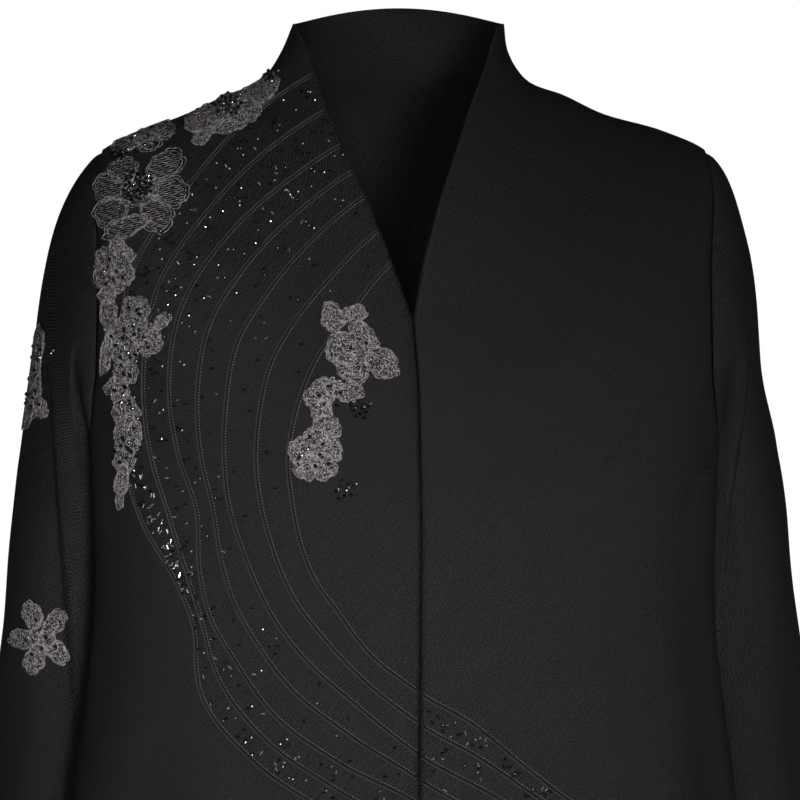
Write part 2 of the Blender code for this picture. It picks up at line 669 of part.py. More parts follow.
def with_lines(outline, lattice, rim, tucks, motifs):
    """The panel's points with three rows along each tuck, foot, crest and foot, and the lace
    outlines, and the numbers that join them."""
    places = [outline]
    heights = [np.zeros(len(outline))]
    lines = []
    loops = {}
    blocked = rim
    motif_flats = []
    total = len(outline)
    for name, loop in motifs.items():
        down, angle = find_on_body(loop[:, 0], loop[:, 1])
        flat = body_plane(down, angle)
        loops[name] = flat
        motif_flats.append(flat)
        places.append(np.stack([down, angle], axis=-1))
        heights.append(np.zeros(len(down)))
        lines.append([*range(total, total + len(down)), total])
        total += len(down)
        blocked = np.concatenate([blocked, closed_line(flat)])
    flat_outline = body_plane(outline[:, 0], outline[:, 1])
    for tuck in tucks:
        way = unit(np.gradient(tuck, axis=0))
        side = np.stack([-way[:, 1], way[:, 0]], axis=-1)
        feet = [tuck + side * off for off in (-TUCK_HALF_WIDTH, 0.0, TUCK_HALF_WIDTH)]
        rows = [np.stack(find_on_body(foot[:, 0], foot[:, 1]), axis=-1) for foot in feet]
        flats = [body_plane(row[:, 0], row[:, 1]) for row in rows]
        clear = np.ones(len(tuck), bool)
        for flat in flats:
            clear &= inside(flat, flat_outline) & (nearest(flat, rim) > TUCK_EDGE_CLEARANCE)
            for motif in motif_flats:
                clear &= ~inside(flat, motif)
                clear &= nearest(flat, closed_line(motif)) > TUCK_LACE_CLEARANCE
        for start, stop in runs(clear):
            for row, crest in zip(rows, (0.0, 1.0, 0.0)):
                part = row[start:stop]
                height = np.full(len(part), crest * TUCK_HEIGHT)
                height[[0, -1]] = 0.0
                places.append(part)
                heights.append(height)
                lines.append(list(range(total, total + len(part))))
                total += len(part)
                flat = body_plane(part[:, 0], part[:, 1])
                blocked = np.concatenate([blocked, along_line(flat, SAMPLE_STEP)])
    flat = body_plane(lattice[:, 0], lattice[:, 1])
    lattice = lattice[nearest(flat, blocked) > LINE_CLEARANCE]
    places.append(lattice)
    heights.append(np.zeros(len(lattice)))
    places = np.concatenate(places)
    plane = body_plane(places[:, 0], places[:, 1])
    faces = triangles(plane, len(outline), lines)
    return places, faces, np.concatenate(heights), loops


def runs(flags):
    """The stretches of true values at least three long, as (start, stop) pairs."""
    ends = np.flatnonzero(np.diff(np.concatenate([[0], flags.astype(int), [0]])))
    return [(a, b) for a, b in zip(ends[::2], ends[1::2]) if b - a >= 3]


def sleeve(collection, name, side, motifs):
    """One sleeve: its sheet is unrolled, split at the underarm, triangulated and closed up."""
    turns = np.linspace(-180, 180, 21)
    downs = np.concatenate([[0.0], np.linspace(14, SLEEVE_LENGTH, 15)])
    left = [(down, -180.0) for down in downs]
    cuff = [(SLEEVE_LENGTH, turn) for turn in turns[1:-1]]
    right = [(down, 180.0) for down in downs[::-1]]
    head = [(0.0, turn) for turn in turns[1:-1][::-1]]
    outline = np.array(left + cuff + right + head)
    lattice = np.array([(down, turn) for down in downs[1:-1] for turn in turns[1:-1]])

    def plane(places):
        return np.stack([places[:, 1] * SLEEVE_DEGREE_TO_PLANE, -places[:, 0]], axis=-1)

    places = [outline]
    lines = []
    loops = {}
    total = len(outline)
    blocked = []
    surface = partial(sleeve_point, side)
    for motif, loop in motifs.items():
        start = np.full(len(loop), 150.0), np.full(len(loop), 50.0)
        low, high = (12, 4), (SLEEVE_LENGTH - 12, 120)
        found = np.stack(find_on(surface, loop[:, 0], loop[:, 1], *start, low, high), axis=-1)
        loops[motif] = plane(found)
        places.append(found)
        lines.append([*range(total, total + len(found)), total])
        total += len(found)
        blocked.append(closed_line(plane(found)))
    for row in range(len(SLEEVE_FOLDS)):
        fold = {key: SLEEVE_FOLD[key][row] for key in SLEEVE_FOLD_COLUMNS}
        if fold["side"] != side or not fold["flap"]:
            continue
        run = np.linspace(0.06, 0.94, 12)
        down = fold["down_start"] + (fold["down_end"] - fold["down_start"]) * run
        middle = fold["angle_top"] + (fold["angle_low"] - fold["angle_top"]) * run
        for off in (-fold["half_width"], fold["half_width"]):
            edge = np.stack([down, middle + off], axis=-1)
            if blocked:
                clear = nearest(plane(edge), np.concatenate(blocked)) > FOLD_LACE_CLEARANCE
            else:
                clear = np.ones(len(edge), bool)
            for first, last in runs(clear):
                part = edge[first:last]
                places.append(part)
                lines.append(list(range(total, total + len(part))))
                total += len(part)
    if len(places) > 1:
        flat_lines = np.concatenate([plane(part) for part in places[1:]])
        lattice = lattice[nearest(plane(lattice), flat_lines) > EDGE_CLEARANCE]
    places = np.concatenate(places + [lattice])
    faces = triangles(plane(places), len(outline), lines)
    normal = sleeve_normal(side, places[:, 0], places[:, 1])
    outer = sleeve_point(side, places[:, 0], places[:, 1])
    seam = places[:, 0] == 0.0
    normal[seam] = body_normal(*armhole_places(side, places[seam, 1]))
    inner = outer - WALL * normal
    leave = unit(sleeve_point(side, 6.0, places[seam, 1]) - outer[seam])
    outer[seam] += SLEEVE_SEAM_GAP * leave
    inner[seam] += SLEEVE_SEAM_GAP * leave

    # The two edges of the unrolled sheet are the same underarm line, so they share numbers.
    middles = plane(places)[faces].mean(axis=1)
    number = np.arange(len(places))
    count = len(downs)
    right_start = len(left) + len(cuff)
    for i in range(count):
        number[right_start + count - 1 - i] = i
    faces = number[faces]
    cuff_loop = [count - 1, *range(len(left), len(left) + len(cuff))]
    head_loop = [0, *range(right_start + count, right_start + count + len(head))]
    pairs = [[(i, i) for i in cuff_loop], [(i, i) for i in head_loop]]
    points, solid_faces = shell(outer, inner, faces, faces, pairs)
    add_solid(collection, name, points, solid_faces, "cloth")
    if loops:
        lace_solids(collection, loops, middles, outer, normal, faces)


def right_side(down):
    """The right front's armhole and side seam, as an angle at each distance down."""
    return -armhole_angle(down)


def back_left_side(down):
    """The back's seam on the wearer's left."""
    return 180 - armhole_angle(down)


def back_right_side(down):
    """The back's seam on the wearer's right."""
    return 180 + armhole_angle(down)


def build():
    """Clears the scene and makes the cloak's pieces."""
    for obj in list(bpy.data.objects):
        bpy.data.objects.remove(obj)
    collection = bpy.data.collections.new("abaya_cloak")
    bpy.context.scene.collection.children.link(collection)

    tucks = [tuck_line(number) for number in range(TUCK_COUNT)]
    front_motifs = {name: lace_outline(rows) for name, rows in LACE_ON_FRONT.items()}
    sleeve_motifs = {name: lace_outline(rows) for name, rows in LACE_ON_SLEEVE.items()}

    right_edge = partial(front_edge_angle, -1)
    left_edge = partial(front_edge_angle, 1)
    hem_left = np.arange(14.0, 88.0, 8.0)
    body_panel(
        collection, "front_right", right_side, right_edge, [-82.0], -hem_left[::-1] + 6.0,
        tucks, front_motifs,
    )
    body_panel(collection, "front_left", left_edge, armhole_angle, [80.0], hem_left - 2.0, tucks)
    body_panel(
        collection, "back", back_left_side, back_right_side,
        np.arange(112.0, 250.0, 22.0), np.arange(98.0, 264.0, 8.0),
    )
    sleeve(collection, "sleeve_right", -1, sleeve_motifs)
    sleeve(collection, "sleeve_left", 1, {})


build()
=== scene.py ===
"""Open-front black abaya cloak in its worn form: crepe panels, curved tucks, lace and beads."""

from functools import partial

import bmesh
import bpy
import numpy as np
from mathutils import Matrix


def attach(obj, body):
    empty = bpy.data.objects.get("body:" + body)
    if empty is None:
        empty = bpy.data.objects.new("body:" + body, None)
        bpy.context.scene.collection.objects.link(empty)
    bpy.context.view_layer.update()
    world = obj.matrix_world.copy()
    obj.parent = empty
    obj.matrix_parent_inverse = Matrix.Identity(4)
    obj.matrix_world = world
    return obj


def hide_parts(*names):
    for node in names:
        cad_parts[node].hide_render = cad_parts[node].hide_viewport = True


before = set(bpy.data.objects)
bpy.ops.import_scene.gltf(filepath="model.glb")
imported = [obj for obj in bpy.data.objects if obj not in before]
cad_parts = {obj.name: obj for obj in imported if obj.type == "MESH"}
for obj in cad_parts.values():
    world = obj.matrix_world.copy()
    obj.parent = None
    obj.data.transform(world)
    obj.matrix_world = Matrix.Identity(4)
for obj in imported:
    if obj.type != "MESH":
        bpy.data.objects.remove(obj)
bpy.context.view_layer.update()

# The back: one piece of black twill crepe from the standing collar's top edge to the hem,
# cut in one with the collar, joined to the fronts at the shoulder and side seams. Its form is
# the worn cloth's: level sections round the body, in millimetres, with soft hanging folds.
MM = 0.001
HEM = 1530.0
SHOULDER_TIP = 170.0
UNDERARM = 360.0
ARMHOLE_REACH = 30.0
SEAM_HALF_GAP = 0.17
CLOTH_THICKNESS = 1.5 * MM

RING_COLUMNS = (
    "down", "half_width", "middle_x", "y_front", "y_side", "y_back",
    "z_front", "z_side", "z_back", "squareness", "arm_press",
)
RINGS = (
    (0, 69, -4, -46, 8, 66, 16, 37, 50, 2.0, 0),
    (20, 74, -6.5, -52, 8, 68, -4, 19, 31, 2.0, 0),
    (44, 86.5, -7, -62, 8, 76, -32, 0.5, 8, 2.0, 0),
    (72, 110.5, -6.5, -73, 8, 86, -62, -9.5, -7, 2.05, 0),
    (100, 134.5, -6.5, -84, 8, 96, -92, -21, -24, 2.1, 0),
    (140, 170, -1, -96, 7, 106, -130, -33, -58, 2.25, 0),
    (170, 197.5, -0.5, -104, 5, 112, -155, -46.5, -84, 2.4, 0),
    (235, 213, 0, -120, 5, 118, -196, -110, -140, 2.6, 6),
    (300, 215, 0, -130, 5, 122, -232, -185, -200, 2.6, 30),
    (360, 214, 0, -135, 5, 124, -266, -250, -262, 2.6, 48),
    (440, 213, 0, -138, 5, 125, -336, -330, -334, 2.6, 58),
    (580, 230, 0, -142, 5, 130, -472, -470, -472, 2.5, 66),
    (760, 246, 0, -150, 5, 138, -652, -650, -652, 2.4, 62),
    (990, 268, 0, -162, 5, 150, -882, -880, -882, 2.3, 26),
    (1260, 297, 0, -180, 5, 170, -1152, -1150, -1152, 2.2, 0),
    (1530, 325, 0, -200, 5, 192, -1422, -1418, -1424, 2.1, 0),
)
FOLD_COLUMNS = (
    "angle_top", "angle_low", "half_width_top", "half_width_low",
    "rise_top", "rise_low", "down_start", "down_full",
)
FOLDS = (
    (-31, -27, 6, 9, 5, 24, 420, 1100),
    (-41, -46, 5, 10, -8, -16, 400, 900),
    (-53, -66, 6, 10, 5, 22, 420, 1100),
    (7, 2, 5, 8, -3, -13, 480, 1200),
    (20, 24, 8, 11, 2, 19, 400, 1300),
    (45, 43, 6, 9, 5, 8, 330, 900),
    (54, 60, 6, 9, -9, -12, 300, 800),
    (68, 78, 5, 10, 3, 21, 450, 1200),
    (-88, -92, 9, 10, 0, 15, 760, 1300),
    (98, 101, 9, 9, 0, -10, 760, 1300),
    (118, 122, 8, 11, 4, 22, 300, 1200),
    (140, 145, 8, 10, -4, -12, 330, 1100),
    (163, 166, 9, 11, 4, 21, 300, 1200),
    (-174, -173, 8, 9, -3, -12, 300, 1100),
    (-152, -150, 8, 11, 5, 24, 320, 1200),
    (-131, -128, 8, 9, -5, -12, 300, 1100),
    (-111, -108, 8, 11, 3, 18, 420, 1200),
)
# Shallow creases of the worn crepe, finer than the hanging folds: where each runs, as
# (angle, down) at its two ends, its half width in degrees and its height in millimetres.
CREASE_COLUMNS = ("angle_a", "down_a", "angle_b", "down_b", "half_width", "rise")
CREASES = (
    (62, 255, 40, 380, 3.5, 1.6),
    (63, 300, 47, 430, 3.0, -1.5),
    (-62, 250, -44, 370, 3.5, 1.3),
    (-63, 310, -50, 430, 3.0, -1.3),
    (84, 66, 70, 130, 3.0, 1.8),
    (79, 60, 62, 120, 3.0, -1.2),
    (12, 520, 4, 760, 2.6, -1.8),
    (30, 420, 34, 700, 4.0, 1.2),
    (-17, 560, -12, 900, 4.0, 1.4),
    (118, 230, 140, 330, 4.0, 1.8),
    (-118, 240, -138, 330, 4.0, 1.8),
    (172, 120, 168, 420, 5.0, -1.2),
    (150, 300, 156, 640, 4.0, 1.5),
    (-160, 320, -166, 700, 4.0, -1.4),
)


def columns(names, rows):
    """The rows of a table as one array for each named column."""
    return dict(zip(names, np.array(rows, float).T))


def named(names, rows):
    """The rows of a table, each with its values by their columns' names."""
    return [dict(zip(names, row)) for row in rows]


RING = columns(RING_COLUMNS, RINGS)


def hermite(f, width, start, start_slope, end, end_slope):
    """The cubic between two values with given slopes, f being the share of the width passed."""
    return (
        (2 * f**3 - 3 * f**2 + 1) * start
        + (f**3 - 2 * f**2 + f) * width * start_slope
        + (3 * f**2 - 2 * f**3) * end
        + (f**3 - f**2) * width * end_slope
    )


def smooth(at, stations, values):
    """A cubic through a table's values: between two stations the Hermite blend of their values
    and of their slopes, where a slope is the mean one between a station's neighbours."""
    stations = np.asarray(stations, float)
    values = np.asarray(values, float)
    slopes = np.gradient(values, stations, axis=0)
    at = np.clip(at, stations[0], stations[-1])
    i = np.clip(np.searchsorted(stations, at, side="right") - 1, 0, len(stations) - 2)
    width = stations[i + 1] - stations[i]
    f = (at - stations[i]) / width
    if values.ndim > 1:
        f = f[..., None]
        width = width[..., None]
    return hermite(f, width, values[i], slopes[i], values[i + 1], slopes[i + 1])


def ease(value, start, end):
    """0 before start, 1 after end, and three f squared less two f cubed between."""
    f = np.clip((value - start) / (end - start), 0, 1)
    return f * f * (3 - 2 * f)


def turn_between(angle, centre):
    """The signed way round from one angle to another, from -180 to 180 degrees."""
    return (angle - centre + 180) % 360 - 180


def unit(vectors):
    """Vectors divided by their lengths."""
    return vectors / np.linalg.norm(vectors, axis=-1, keepdims=True)


def fold_rise(down, angle):
    """How far the folds stand out: a sum of bell curves across the angle, each with a middle,
    width and height that change evenly from the chest to the hem."""
    rise = np.zeros(np.shape(down))
    for fold in named(FOLD_COLUMNS, FOLDS):
        grown = ease(down, fold["down_start"], fold["down_full"])
        low = ease(down, fold["down_start"], HEM)
        middle = fold["angle_top"] + (fold["angle_low"] - fold["angle_top"]) * low
        width = fold["half_width_top"] + (fold["half_width_low"] - fold["half_width_top"]) * low
        height = fold["rise_top"] + (fold["rise_low"] - fold["rise_top"]) * low
        rise += grown * height * np.exp(-((turn_between(angle, middle) / width) ** 2))
    return rise


def crease_rise(down, angle):
    """How far the shallow creases stand out: a bell curve across each crease's line, fading at
    its two ends, and a slow waviness of three crossing sine waves, about half a millimetre."""
    rise = np.zeros(np.shape(down))
    for crease in named(CREASE_COLUMNS, CREASES):
        run = (down - crease["down_a"]) / (crease["down_b"] - crease["down_a"])
        middle = crease["angle_a"] + (crease["angle_b"] - crease["angle_a"]) * run
        length = ease(run, 0.0, 0.35) * ease(1 - run, 0.0, 0.35)
        bell = np.exp(-((turn_between(angle, middle) / crease["half_width"]) ** 2))
        rise += crease["rise"] * length * bell
    turn = np.radians(angle)
    for height, along, around, phase in (
        (0.30, 0.021, 5, 0.4), (0.22, 0.037, 9, 1.9), (0.15, 0.055, 14, 3.1),
    ):
        rise += height * np.sin(along * down + around * turn + phase)
    return rise * ease(down, 30.0, 160.0)


def body_point(down, angle, creased=True):
    """The body cloth's outer face in millimetres. Its section at each distance down is a
    superellipse, the sum of the sine and cosine to a power being one, dipped to front and back
    by the cosine squared, pressed in at the arms by a bell curve, and moved out by the folds."""
    down = np.asarray(down, float)
    angle = np.asarray(angle, float)
    ring = {name: smooth(down, RING["down"], RING[name]) for name in RING_COLUMNS[1:]}
    sine = np.sin(np.radians(angle))
    cosine = np.cos(np.radians(angle))
    power = ring["squareness"]
    reach = (np.abs(sine) ** power + np.abs(cosine) ** power) ** (-1 / power)
    from_side = turn_between(np.abs(turn_between(angle, 0)), 96)
    press_width = np.where(from_side < 0, 19.0, 30.0)
    press = ring["arm_press"] * np.exp(-((from_side / press_width) ** 2))
    forward = cosine > 0
    depth = np.where(forward, ring["y_front"] - ring["y_side"], ring["y_side"] - ring["y_back"])
    drop = np.where(forward, ring["z_front"], ring["z_back"]) - ring["z_side"]
    x = ring["middle_x"] + ring["half_width"] * sine * reach - press * np.sign(sine)
    y = ring["y_side"] + depth * cosine * reach
    z = ring["z_side"] + drop * cosine**2
    rise = fold_rise(down, angle)
    if creased:
        rise = rise + crease_rise(down, angle)
    out_x = sine / ring["half_width"]
    out_y = -cosine / np.abs(depth)
    length = np.hypot(out_x, out_y)
    return np.stack([x + rise * out_x / length, y + rise * out_y / length, z], axis=-1)


def tangents(surface, first, second, step_first=0.5, step_second=0.25):
    """The surface's two directions at a point: the difference of the points either side."""
    along = surface(first + step_first, second) - surface(first - step_first, second)
    across = surface(first, second + step_second) - surface(first, second - step_second)
    return along, across


def body_normal(down, angle):
    """The outward direction: the cross product of the surface's two directions."""
    along, across = tangents(body_point, np.clip(down, 1.0, HEM - 1.0), angle)
    return unit(np.cross(along, across))


def armhole(turn):
    """The armhole seam on the body cloth, 0 at the shoulder tip and 180 at the underarm: an
    ellipse whose depth in from the side is the sine to the power 0.8."""
    middle = (SHOULDER_TIP + UNDERARM) / 2
    half = (UNDERARM - SHOULDER_TIP) / 2
    down = middle - half * np.cos(np.radians(turn))
    return down, ARMHOLE_REACH * np.abs(np.sin(np.radians(turn))) ** 0.8


def armhole_angle(down):
    """The angle round the body at which a level meets the armhole, 90 above and below it."""
    middle = (SHOULDER_TIP + UNDERARM) / 2
    half = (UNDERARM - SHOULDER_TIP) / 2
    turn = np.degrees(np.arccos(np.clip((middle - down) / half, -1, 1)))
    return 90 - armhole(turn)[1]


def add_mesh(name, points, faces, uv=None, smooth_faces=True):
    """A mesh object at the origin from points in millimetres and rows of corner numbers, with
    a UV map in metres where one is given for each point."""
    mesh = bpy.data.meshes.new(name)
    mesh.from_pydata((points.reshape(-1, 3) * MM).tolist(), [], faces.tolist())
    if uv is not None:
        corners = np.empty(len(mesh.loops), np.int32)
        mesh.loops.foreach_get("vertex_index", corners)
        layer = mesh.uv_layers.new(name="cloth_grain")
        layer.data.foreach_set("uv", (uv.reshape(-1, 2)[corners] * MM).ravel())
    mesh.polygons.foreach_set("use_smooth", np.full(len(mesh.polygons), smooth_faces))
    obj = bpy.data.objects.new(name, mesh)
    bpy.context.scene.collection.objects.link(obj)
    return obj


def grid_faces(rows, cols, close=False, close_rows=False):
    """Four-cornered faces between the points of a grid, joined round its columns or its rows
    where that is closed."""
    number = np.arange(rows * cols).reshape(rows, cols)
    if close:
        number = np.concatenate([number, number[:, :1]], axis=1)
    if close_rows:
        number = np.concatenate([number, number[:1]], axis=0)
    corners = (number[:-1, :-1], number[1:, :-1], number[1:, 1:], number[:-1, 1:])
    return np.stack(corners, axis=-1).reshape(-1, 4)


def sew_dip(distance):
    """How far cloth sinks beside a pressed seam: a bell curve 1.1 deep and 3 wide."""
    return -1.1 * np.exp(-((distance / 3.0) ** 2))


def edge_roll(distance):
    """How far a folded edge rolls inwards: a bell curve 1.3 deep and 1.8 wide."""
    return -1.3 * np.exp(-((distance / 1.8) ** 2))


def fit_piece(piece, material):
    """Gives a piece its material and its body."""
    piece.data.materials.append(material)
    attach(piece, "root")


def crepe_piece(name, points, faces, uv):
    """One cut piece of crepe as a thin wall, in the place of the CAD node of that name."""
    piece = add_mesh(name + "_crepe", points, faces, uv)
    wall = piece.modifiers.new("cloth thickness", "SOLIDIFY")
    wall.thickness = CLOTH_THICKNESS
    wall.offset = -1.0
    fit_piece(piece, crepe)
    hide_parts(name)
    return piece


def cloth_panel(name, down, angle):
    """A panel as a thin wall of crepe over a grid of its places on the body cloth, its two sewn
    sides sunk a little and held back from the seam, its UV map the run along each grid line."""
    points = body_point(down, angle)
    normal = body_normal(down, angle)
    step = np.linalg.norm(np.diff(points, axis=1), axis=-1)
    run = np.concatenate([np.zeros((len(points), 1)), np.cumsum(step, axis=1)], axis=1)
    sewn = {"front_right": (True, False), "front_left": (False, True), "back": (True, True)}[name]
    across = unit(np.gradient(points, axis=1))
    for at_start, is_sewn in zip((True, False), sewn):
        gap = run if at_start else run[:, -1:] - run
        sink = sew_dip(gap) if is_sewn else edge_roll(gap)
        points = points + sink[..., None] * normal
        held = SEAM_HALF_GAP if is_sewn else 0.0
        column = 0 if at_start else -1
        points[:, column] += across[:, column] * (held if at_start else -held)
    flat_run = run - run[:, -1:] if name == "front_right" else run
    return crepe_piece(name, points, grid_faces(*down.shape), np.stack([flat_run, -down], -1))


def linear(colour):
    """An sRGB hex colour as linear red, green, blue and alpha: each part over 255, divided by
    12.92 where it is dark and otherwise the power 2.4 of its shifted value."""
    parts = np.array([int(colour[i:i + 2], 16) for i in (1, 3, 5)]) / 255
    low = parts / 12.92
    high = ((parts + 0.055) / 1.055) ** 2.4
    return (*np.where(parts <= 0.04045, low, high), 1.0)


def node(tree, kind, links=None, **settings):
    """Adds one node: settings named input_0 and so on fill its inputs, the others its own
    properties, and links join its inputs to other nodes' outputs."""
    made = tree.nodes.new(kind)
    for key, value in settings.items():
        if key.startswith("input_"):
            made.inputs[int(key[6:])].default_value = value
        else:
            setattr(made, key, value)
    for socket, source in (links or {}).items():
        tree.links.new(source, made.inputs[socket])
    return made


def ramp(tree, value, *stops):
    """A colour ramp over a value, its stops given as positions with sRGB hex colours."""
    made = node(tree, "ShaderNodeValToRGB", {0: value})
    elements = made.color_ramp.elements
    for element, (position, colour) in zip((elements[0], elements[1]), (stops[0], stops[-1])):
        element.position = position
        element.color = linear(colour)
    for position, colour in stops[1:-1]:
        elements.new(position).color = linear(colour)
    return made.outputs[0]


def new_material(name, colour, roughness, specular=0.5):
    """A material, its node tree and its Principled shader with the plain values set. The colour
    is None where a pattern will be linked to it."""
    material = bpy.data.materials.new(name)
    material.use_nodes = True
    shader = material.node_tree.nodes["Principled BSDF"]
    if colour:
        shader.inputs["Base Color"].default_value = linear(colour)
    shader.inputs["Roughness"].default_value = roughness
    shader.inputs["Specular IOR Level"].default_value = specular
    return material, material.node_tree, shader


# Black polyester twill crepe: matt, a little brighter where it faces the light, with a diagonal
# rib. The real rib is 0.7 mm wide, too fine for one pixel of the view, so it is drawn at 1.45.
TWILL_PITCH = 1.45 * MM
TWILL_SLOPE = np.radians(54.0)
crepe, tree, shader = new_material("black twill crepe", None, 0.6, 0.16)
grain = node(tree, "ShaderNodeUVMap", uv_map="cloth_grain")
across_rib = 2 * np.pi / TWILL_PITCH
rib_way = (-np.sin(TWILL_SLOPE) * across_rib, np.cos(TWILL_SLOPE) * across_rib, 0.0)
wander = node(tree, "ShaderNodeTexNoise", {0: grain.outputs[0]}, input_2=400.0, input_3=2.0)
rib_phase = node(
    tree, "ShaderNodeVectorMath", {0: grain.outputs[0]}, operation="DOT_PRODUCT", input_1=rib_way
)
shaken = node(
    tree, "ShaderNodeMath", {0: wander.outputs[0], 2: rib_phase.outputs["Value"]},
    operation="MULTIPLY_ADD", input_1=5.0,
)
rib = node(tree, "ShaderNodeMath", {0: shaken.outputs[0]}, operation="SINE")
fleck = node(tree, "ShaderNodeTexNoise", {0: grain.outputs[0]}, input_2=950.0, input_3=1.0)
tone = node(
    tree, "ShaderNodeMath", {0: rib.outputs[0], 2: fleck.outputs[0]},
    operation="MULTIPLY_ADD", input_1=0.14,
)
colour = ramp(tree, tone.outputs[0], (0.41, "#050505"), (0.61, "#2f2c2e"))
height = node(
    tree, "ShaderNodeMath", {0: fleck.outputs[0], 2: rib.outputs[0]},
    operation="MULTIPLY_ADD", input_1=1.4,
)
weave = node(
    tree, "ShaderNodeBump", {"Height": height.outputs[0]}, input_0=0.65, input_1=0.00035,
)
tree.links.new(colour, shader.inputs["Base Color"])
tree.links.new(weave.outputs[0], shader.inputs["Normal"])

# Painted shade: the same crepe with no rib, painted a little darker, for the shadow in the tucks'
# pressed grooves and for the cloth seen through the open lace.
crepe_shadow = new_material("black crepe painted shade", "#121112", 0.85, 0.15)[0]

BACK_ROWS = 270
BACK_COLS = 130
back_down = np.linspace(0, HEM, BACK_ROWS)[:, None] * np.ones(BACK_COLS)
side_angle = armhole_angle(back_down)
back_share = np.linspace(0, 1, BACK_COLS)[None, :]
back_angle = (180 - side_angle) + 2 * side_angle * back_share
back = cloth_panel("back", back_down, back_angle)

# The two fronts: each one piece of the same crepe with its half of the standing collar, open
# down the middle, its edge turned in. The neckline runs from the collar to a low V.
CENTRE_GAP = 0.5
EDGE_COLUMNS = ("z", "right_front_x", "left_front_x")
FRONT_EDGES = (
    (60, -72, 66),
    (34, -70.5, 61),
    (25, -66, 58),
    (3, -58, 50.5),
    (-20, -51, 41.5),
    (-47, -39, 32.5),
    (-80, -23, 21.5),
    (-110, -11, 13.5),
    (-135, -2, 8.5),
    (-155, 5, 5),
    (-195, 8.5, 8.5),
    (-286, 10.5, 10.5),
    (-470, 9, 9),
    (-900, 8, 8),
    (-1430, 8, 8),
)
EDGE = columns(EDGE_COLUMNS, FRONT_EDGES)


def edge_x(side, z):
    """Where a front's edge lies, seen from the front, read off the table in straight steps."""
    column = "right_front_x" if side < 0 else "left_front_x"
    order = np.argsort(EDGE["z"])
    return np.interp(z, EDGE["z"][order], EDGE[column][order]) + side * CENTRE_GAP / 2


def front_edge_angle(side, down):
    """The angle at which a level meets the front's edge, by halving an interval 40 times."""
    low = np.full(np.shape(down), -25.0)
    high = np.full(np.shape(down), 89.0)
    for _ in range(40):
        middle = (low + high) / 2
        point = body_point(down, side * middle, False)
        outside = side * (point[..., 0] - edge_x(side, point[..., 2])) > 0
        high = np.where(outside, middle, high)
        low = np.where(outside, low, middle)
    return side * (low + high) / 2


FRONT_ROWS = 330
FRONT_COLS = 84
front_down = np.linspace(0, HEM, FRONT_ROWS)[:, None] * np.ones(FRONT_COLS)
front_share = np.linspace(0, 1, FRONT_COLS)[None, :]
for side, name in ((-1, "front_right"), (1, "front_left")):
    edge_angle = front_edge_angle(side, front_down[:, :1])
    sewn_angle = side * armhole_angle(front_down[:, :1])
    first, last = (sewn_angle, edge_angle) if side < 0 else (edge_angle, sewn_angle)
    cloth_panel(name, front_down, first + (last - first) * front_share)

# The sleeves: a tube of crepe each, set into the armhole, with one underarm seam and a turned
# cuff. They hang with the arm, and one layer of each laps a little over the cloth outside it.
SLEEVE_SEAM_GAP = 0.36
SLEEVE_SPREAD = 0.8
SLEEVE_LENGTH = 545.0
SLEEVE_COLUMNS = ("down", "x", "y", "z", "half_out", "half_fore", "outer_raise")
SLEEVE_RINGS = (
    (200, 212.5, 31, -274, 39.5, 53, 28),
    (300, 221, 35, -372, 41.5, 54, 12),
    (410, 229, 37, -482, 41, 56, 4),
    (545, 240, 36, -614, 40, 57, -3),
)
SLEEVE_FOLD_COLUMNS = (
    "side", "angle_top", "angle_low", "half_width", "rise", "down_start", "down_end", "flap",
)
SLEEVE_FOLDS = (
    (-1, 50, 118, 2.5, 7, 95, 400, 1),
    (1, 62, 128, 2.5, 6, 60, 360, 1),
    (-1, 150, 140, 16, -6, 90, 330, 0),
    (1, 140, 132, 16, -6, 60, 300, 0),
    (-1, 25, 10, 16, 4, 260, 560, 0),
    (1, 20, 35, 15, 5, 240, 560, 0),
    (-1, -60, -40, 17, -6, 200, 560, 0),
    (1, -55, -75, 16, -6, 180, 560, 0),
    (-1, -115, -95, 18, 5, 150, 560, 0),
    (1, -105, -120, 18, 5, 170, 560, 0),
    (1, 0, 0, 60, -7, 20, 560, 0),
    (1, 0, 0, 40, -8, 5, 190, 0),
)
SLEEVE = columns(SLEEVE_COLUMNS, SLEEVE_RINGS)


def armhole_places(side, turn):
    """The armhole seam's places on the body cloth, once round from the shoulder tip by the
    front to the underarm, or with turns below 0 by the back."""
    down, inwards = armhole(turn)
    return down, side * (90 - inwards * np.sign(np.sin(np.radians(turn))))


def sleeve_fold_rise(side, down, turn):
    """How far a sleeve's folds stand out: bell curves, and for a flap one smooth step that dies
    away over the 70 degrees behind it."""
    rise = np.zeros(np.shape(down))
    for fold in named(SLEEVE_FOLD_COLUMNS, SLEEVE_FOLDS):
        if fold["side"] != side:
            continue
        span = fold["down_end"] - fold["down_start"]
        run = np.clip((down - fold["down_start"]) / span, 0, 1)
        middle = fold["angle_top"] + (fold["angle_low"] - fold["angle_top"]) * run
        grown = ease(run, 0.0, 0.3)
        if fold["down_end"] < SLEEVE_LENGTH:
            grown = grown * ease(1 - run, 0.0, 0.3)
        off = turn_between(turn, middle)
        if fold["flap"]:
            shape = ease(off, -fold["half_width"], fold["half_width"]) * ease(-off, -75.0, -8.0)
        else:
            shape = np.exp(-((off / fold["half_width"]) ** 2))
        rise = rise + grown * fold["rise"] * shape
    return rise


